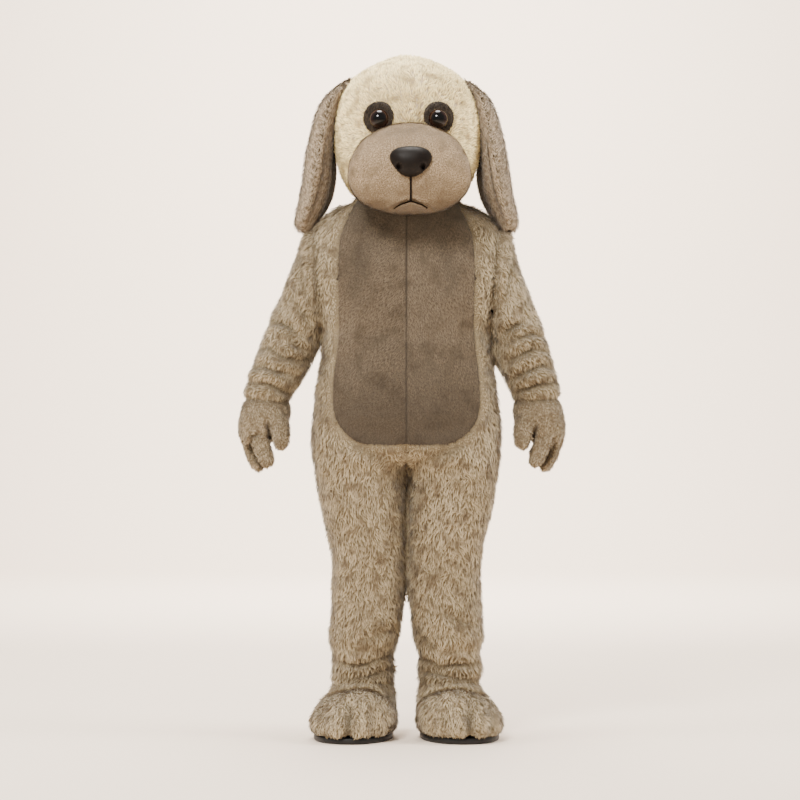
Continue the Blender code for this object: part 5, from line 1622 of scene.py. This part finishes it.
for side, word in ((-1, "right"), (1, "left")):
    edges = []
    for face in ("outer", "inner"):
        places, _ = places_and_normals(bpy.data.objects[f"ear_{face}_{word}_cloth"].data)
        edges.append(places[(places[:, 1] < -0.03) & (places[:, 0] * side > 0.15)])
    line = []
    for height in SEAM_HEIGHTS:
        ends = []
        for places in edges:
            level = places[np.argsort(np.abs(places[:, 2] - height))[:NEAREST]]
            ends.append(level[np.argmin(level[:, 1])])
        line.append((ends[0] + ends[1]) / 2)
    line = np.array(line)
    for _ in range(6):
        line[1:-1] = (line[:-2] + 2 * line[1:-1] + line[2:]) / 4
    line[:, 1] -= 0.0035
    points = [tuple(p) for p in line]
    sewn = stitch_along(f"ear_seam_{word}", points, thread, Spacing=0.0024, Length=0.0034)
    fix("ear_fur", sewn)

# The zip up the back: a nylon coil on a woven tape sewn between the two backs, with a metal
# slider near the neck. The tab hinges on the slider; it hangs straight down.
tape_cloth, shader, tree = new_material("zip_weave", Roughness=0.85)
node = node_maker(tree)
weave = node("ShaderNodeTexWave", {
    "Scale": 260.0, "Vector": node("ShaderNodeTexCoord").outputs["Object"],
}, bands_direction="Z").outputs["Fac"]
woven = colour_mix(tree, weave, (0.11, 0.085, 0.058), (0.18, 0.14, 0.10))
tree.links.new(woven, shader.inputs["Base Color"])
raise_grain(tree, shader, weave, 0.4, 0.0004)
nylon = new_material("zip_nylon", Base_Color=(0.20, 0.155, 0.11, 1), Roughness=0.38)[0]
metal, shader, tree = new_material("zip_nickel", Metallic=1.0)
nickel = colour_mix(tree, cloud(tree, 0.004), (0.42, 0.40, 0.37), (0.55, 0.53, 0.50))
tree.links.new(nickel, shader.inputs["Base Color"])
tree.links.new(stepped(tree, cloud(tree, 0.002, 3.0), -0.6, 2.0), shader.inputs["Roughness"])

TAPE_COLUMNS = (
    -0.020, -0.015, -0.0105, -0.0085, -0.0065, -0.003, 0.0, 0.003, 0.0065, 0.0085, 0.0105, 0.015, 0.020,
)
TAPE_ROWS = 150
TAPE_INSET = 0.0005  # from the ends of the seam between the backs
END_ROWS = 8  # the tape runs on past each end as far as this many rows do
UNDER = 0.0060  # how deep the tape's margins and ends lie under the backs
MARGIN = (0.0066, 0.0104)  # between these the tape goes down from the open seam to its margin
TAPE_THICKNESS = 0.0006
COIL_SIDE = 0.0013
COIL_LIFT = 0.0004

tape_skin = surface_of(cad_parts["zip_tape"].data)
tape_low, tape_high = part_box("zip_tape")
tape_heights = np.linspace(tape_low.z + TAPE_INSET, tape_high.z - TAPE_INSET, TAPE_ROWS)
back_line = [tape_skin.ray_cast(Vector((0, 1.0, z)), Vector((0, -1, 0)))[0] for z in tape_heights]
above = back_line[-1] + (back_line[-1] - back_line[-1 - END_ROWS])
below = back_line[0] - (back_line[END_ROWS] - back_line[0])
rows = [(2 * below - back_line[0], 1.0), (below, 1.0)] + [(p, 0.0) for p in back_line] + [(above, 1.0)]
points = [
    (x, p.y - UNDER * max(end, float(np.interp(abs(x), MARGIN, (0, 1)))), p.z)
    for p, end in rows for x in TAPE_COLUMNS
]
wide = len(TAPE_COLUMNS)
faces = [
    (r * wide + c + 1, r * wide + c, (r + 1) * wide + c, (r + 1) * wide + c + 1)
    for r in range(len(rows) - 1) for c in range(wide - 1)
]
woven_tape = new_object("woven_tape", plain_mesh("woven_tape", points, faces))
thicken(woven_tape, TAPE_THICKNESS)
cover(woven_tape, tape_cloth)
fix("zip_tape", woven_tape)
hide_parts("zip_tape")
for side, word in ((-1, "right"), (1, "left")):
    points = [p + Vector((side * COIL_SIDE, COIL_LIFT, 0)) for p in back_line]
    coil = stitch_along(f"coil_{word}", points, nylon, Spacing=0.0019, Length=0.0034, Thread=0.0006)
    cover(coil, nylon)
    coil.data.shade_smooth()
    fix("zip_tape", coil)


def rounded_block(name, low, high, edge):
    """A block with rounded edges."""
    place = Matrix.Translation((low + high) / 2) @ Matrix.Diagonal((*(high - low), 1))
    mesh = bpy.data.meshes.new(name)
    work = bmesh.new()
    bmesh.ops.create_cube(work, size=1.0, matrix=place)
    write_back(work, mesh)
    block = new_object(name, mesh)
    rounding = block.modifiers.new("rounding", "BEVEL")
    rounding.width = edge
    rounding.segments = 3
    bake_modifiers(block)
    block.data.shade_smooth()
    cover(block, metal)
    return block


BRIDGE_HALF = 0.0012
BRIDGE_HIGH = 0.0022  # how far the bridge that holds the pull stands up from the slider's plate
slider_low, slider_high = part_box("zip_slider")
plate_top = slider_high.y - BRIDGE_HIGH
plate_corner = Vector((slider_high.x, plate_top, slider_high.z))
slider_body = rounded_block("slider_body", slider_low, plate_corner, 0.0009)
bridge = rounded_block(
    "slider_bridge", Vector((-BRIDGE_HALF, plate_top - 0.0004, slider_low.z + 0.0008)),
    Vector((BRIDGE_HALF, slider_high.y, slider_high.z - 0.0012)), 0.0006,
)
fix("zip_metal", slider_body, bridge)
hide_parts("zip_slider")

PULL_EDGE = 0.0003
PULL_POINTS = 32
PULL_SQUARE = 0.45  # 1 would be an oval, and 0 a square
pull_low, pull_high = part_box("zip_pull")
half_width = (pull_high.x - pull_low.x) / 2 - PULL_EDGE
half_length = (pull_high.z - pull_low.z) / 2 - PULL_EDGE
outline = bpy.data.curves.new("pull_outline", "CURVE")
outline.dimensions = "2D"
outline.fill_mode = "BOTH"
outline.extrude = (pull_high.y - pull_low.y) / 2 - PULL_EDGE
outline.bevel_depth = PULL_EDGE
outline.bevel_resolution = 1
for reach_x, reach_y, centre_y in (
    (half_width, half_length, 0.0), (half_width - 0.0014, 0.0042, -half_length + 0.0062),
):
    spline = outline.splines.new("POLY")
    spline.points.add(PULL_POINTS - 1)
    for i, point in enumerate(spline.points):
        turn = 2 * math.pi * i / PULL_POINTS
        c, d = math.cos(turn), math.sin(turn)
        x = reach_x * math.copysign(abs(c) ** PULL_SQUARE, c)
        y = centre_y + reach_y * math.copysign(abs(d) ** PULL_SQUARE, d)
        point.co = (x, y, 0, 1)
    spline.use_cyclic_u = True
flat_pull = new_object("flat_pull", outline)
pull_mesh = evaluated_mesh(flat_pull)
bpy.data.objects.remove(flat_pull)
upright = Matrix.Rotation(math.radians(90), 4, "X")
pull_mesh.transform(Matrix.Translation((pull_low + pull_high) / 2) @ upright)
work = opened(pull_mesh)
bmesh.ops.remove_doubles(work, verts=work.verts, dist=0.00001)
bmesh.ops.recalc_face_normals(work, faces=work.faces)
write_back(work, pull_mesh)
pull_tab = new_object("pull_tab", pull_mesh)
cover(pull_tab, metal)
fix("zip_metal", pull_tab, body="zip_pull")
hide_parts("zip_pull")
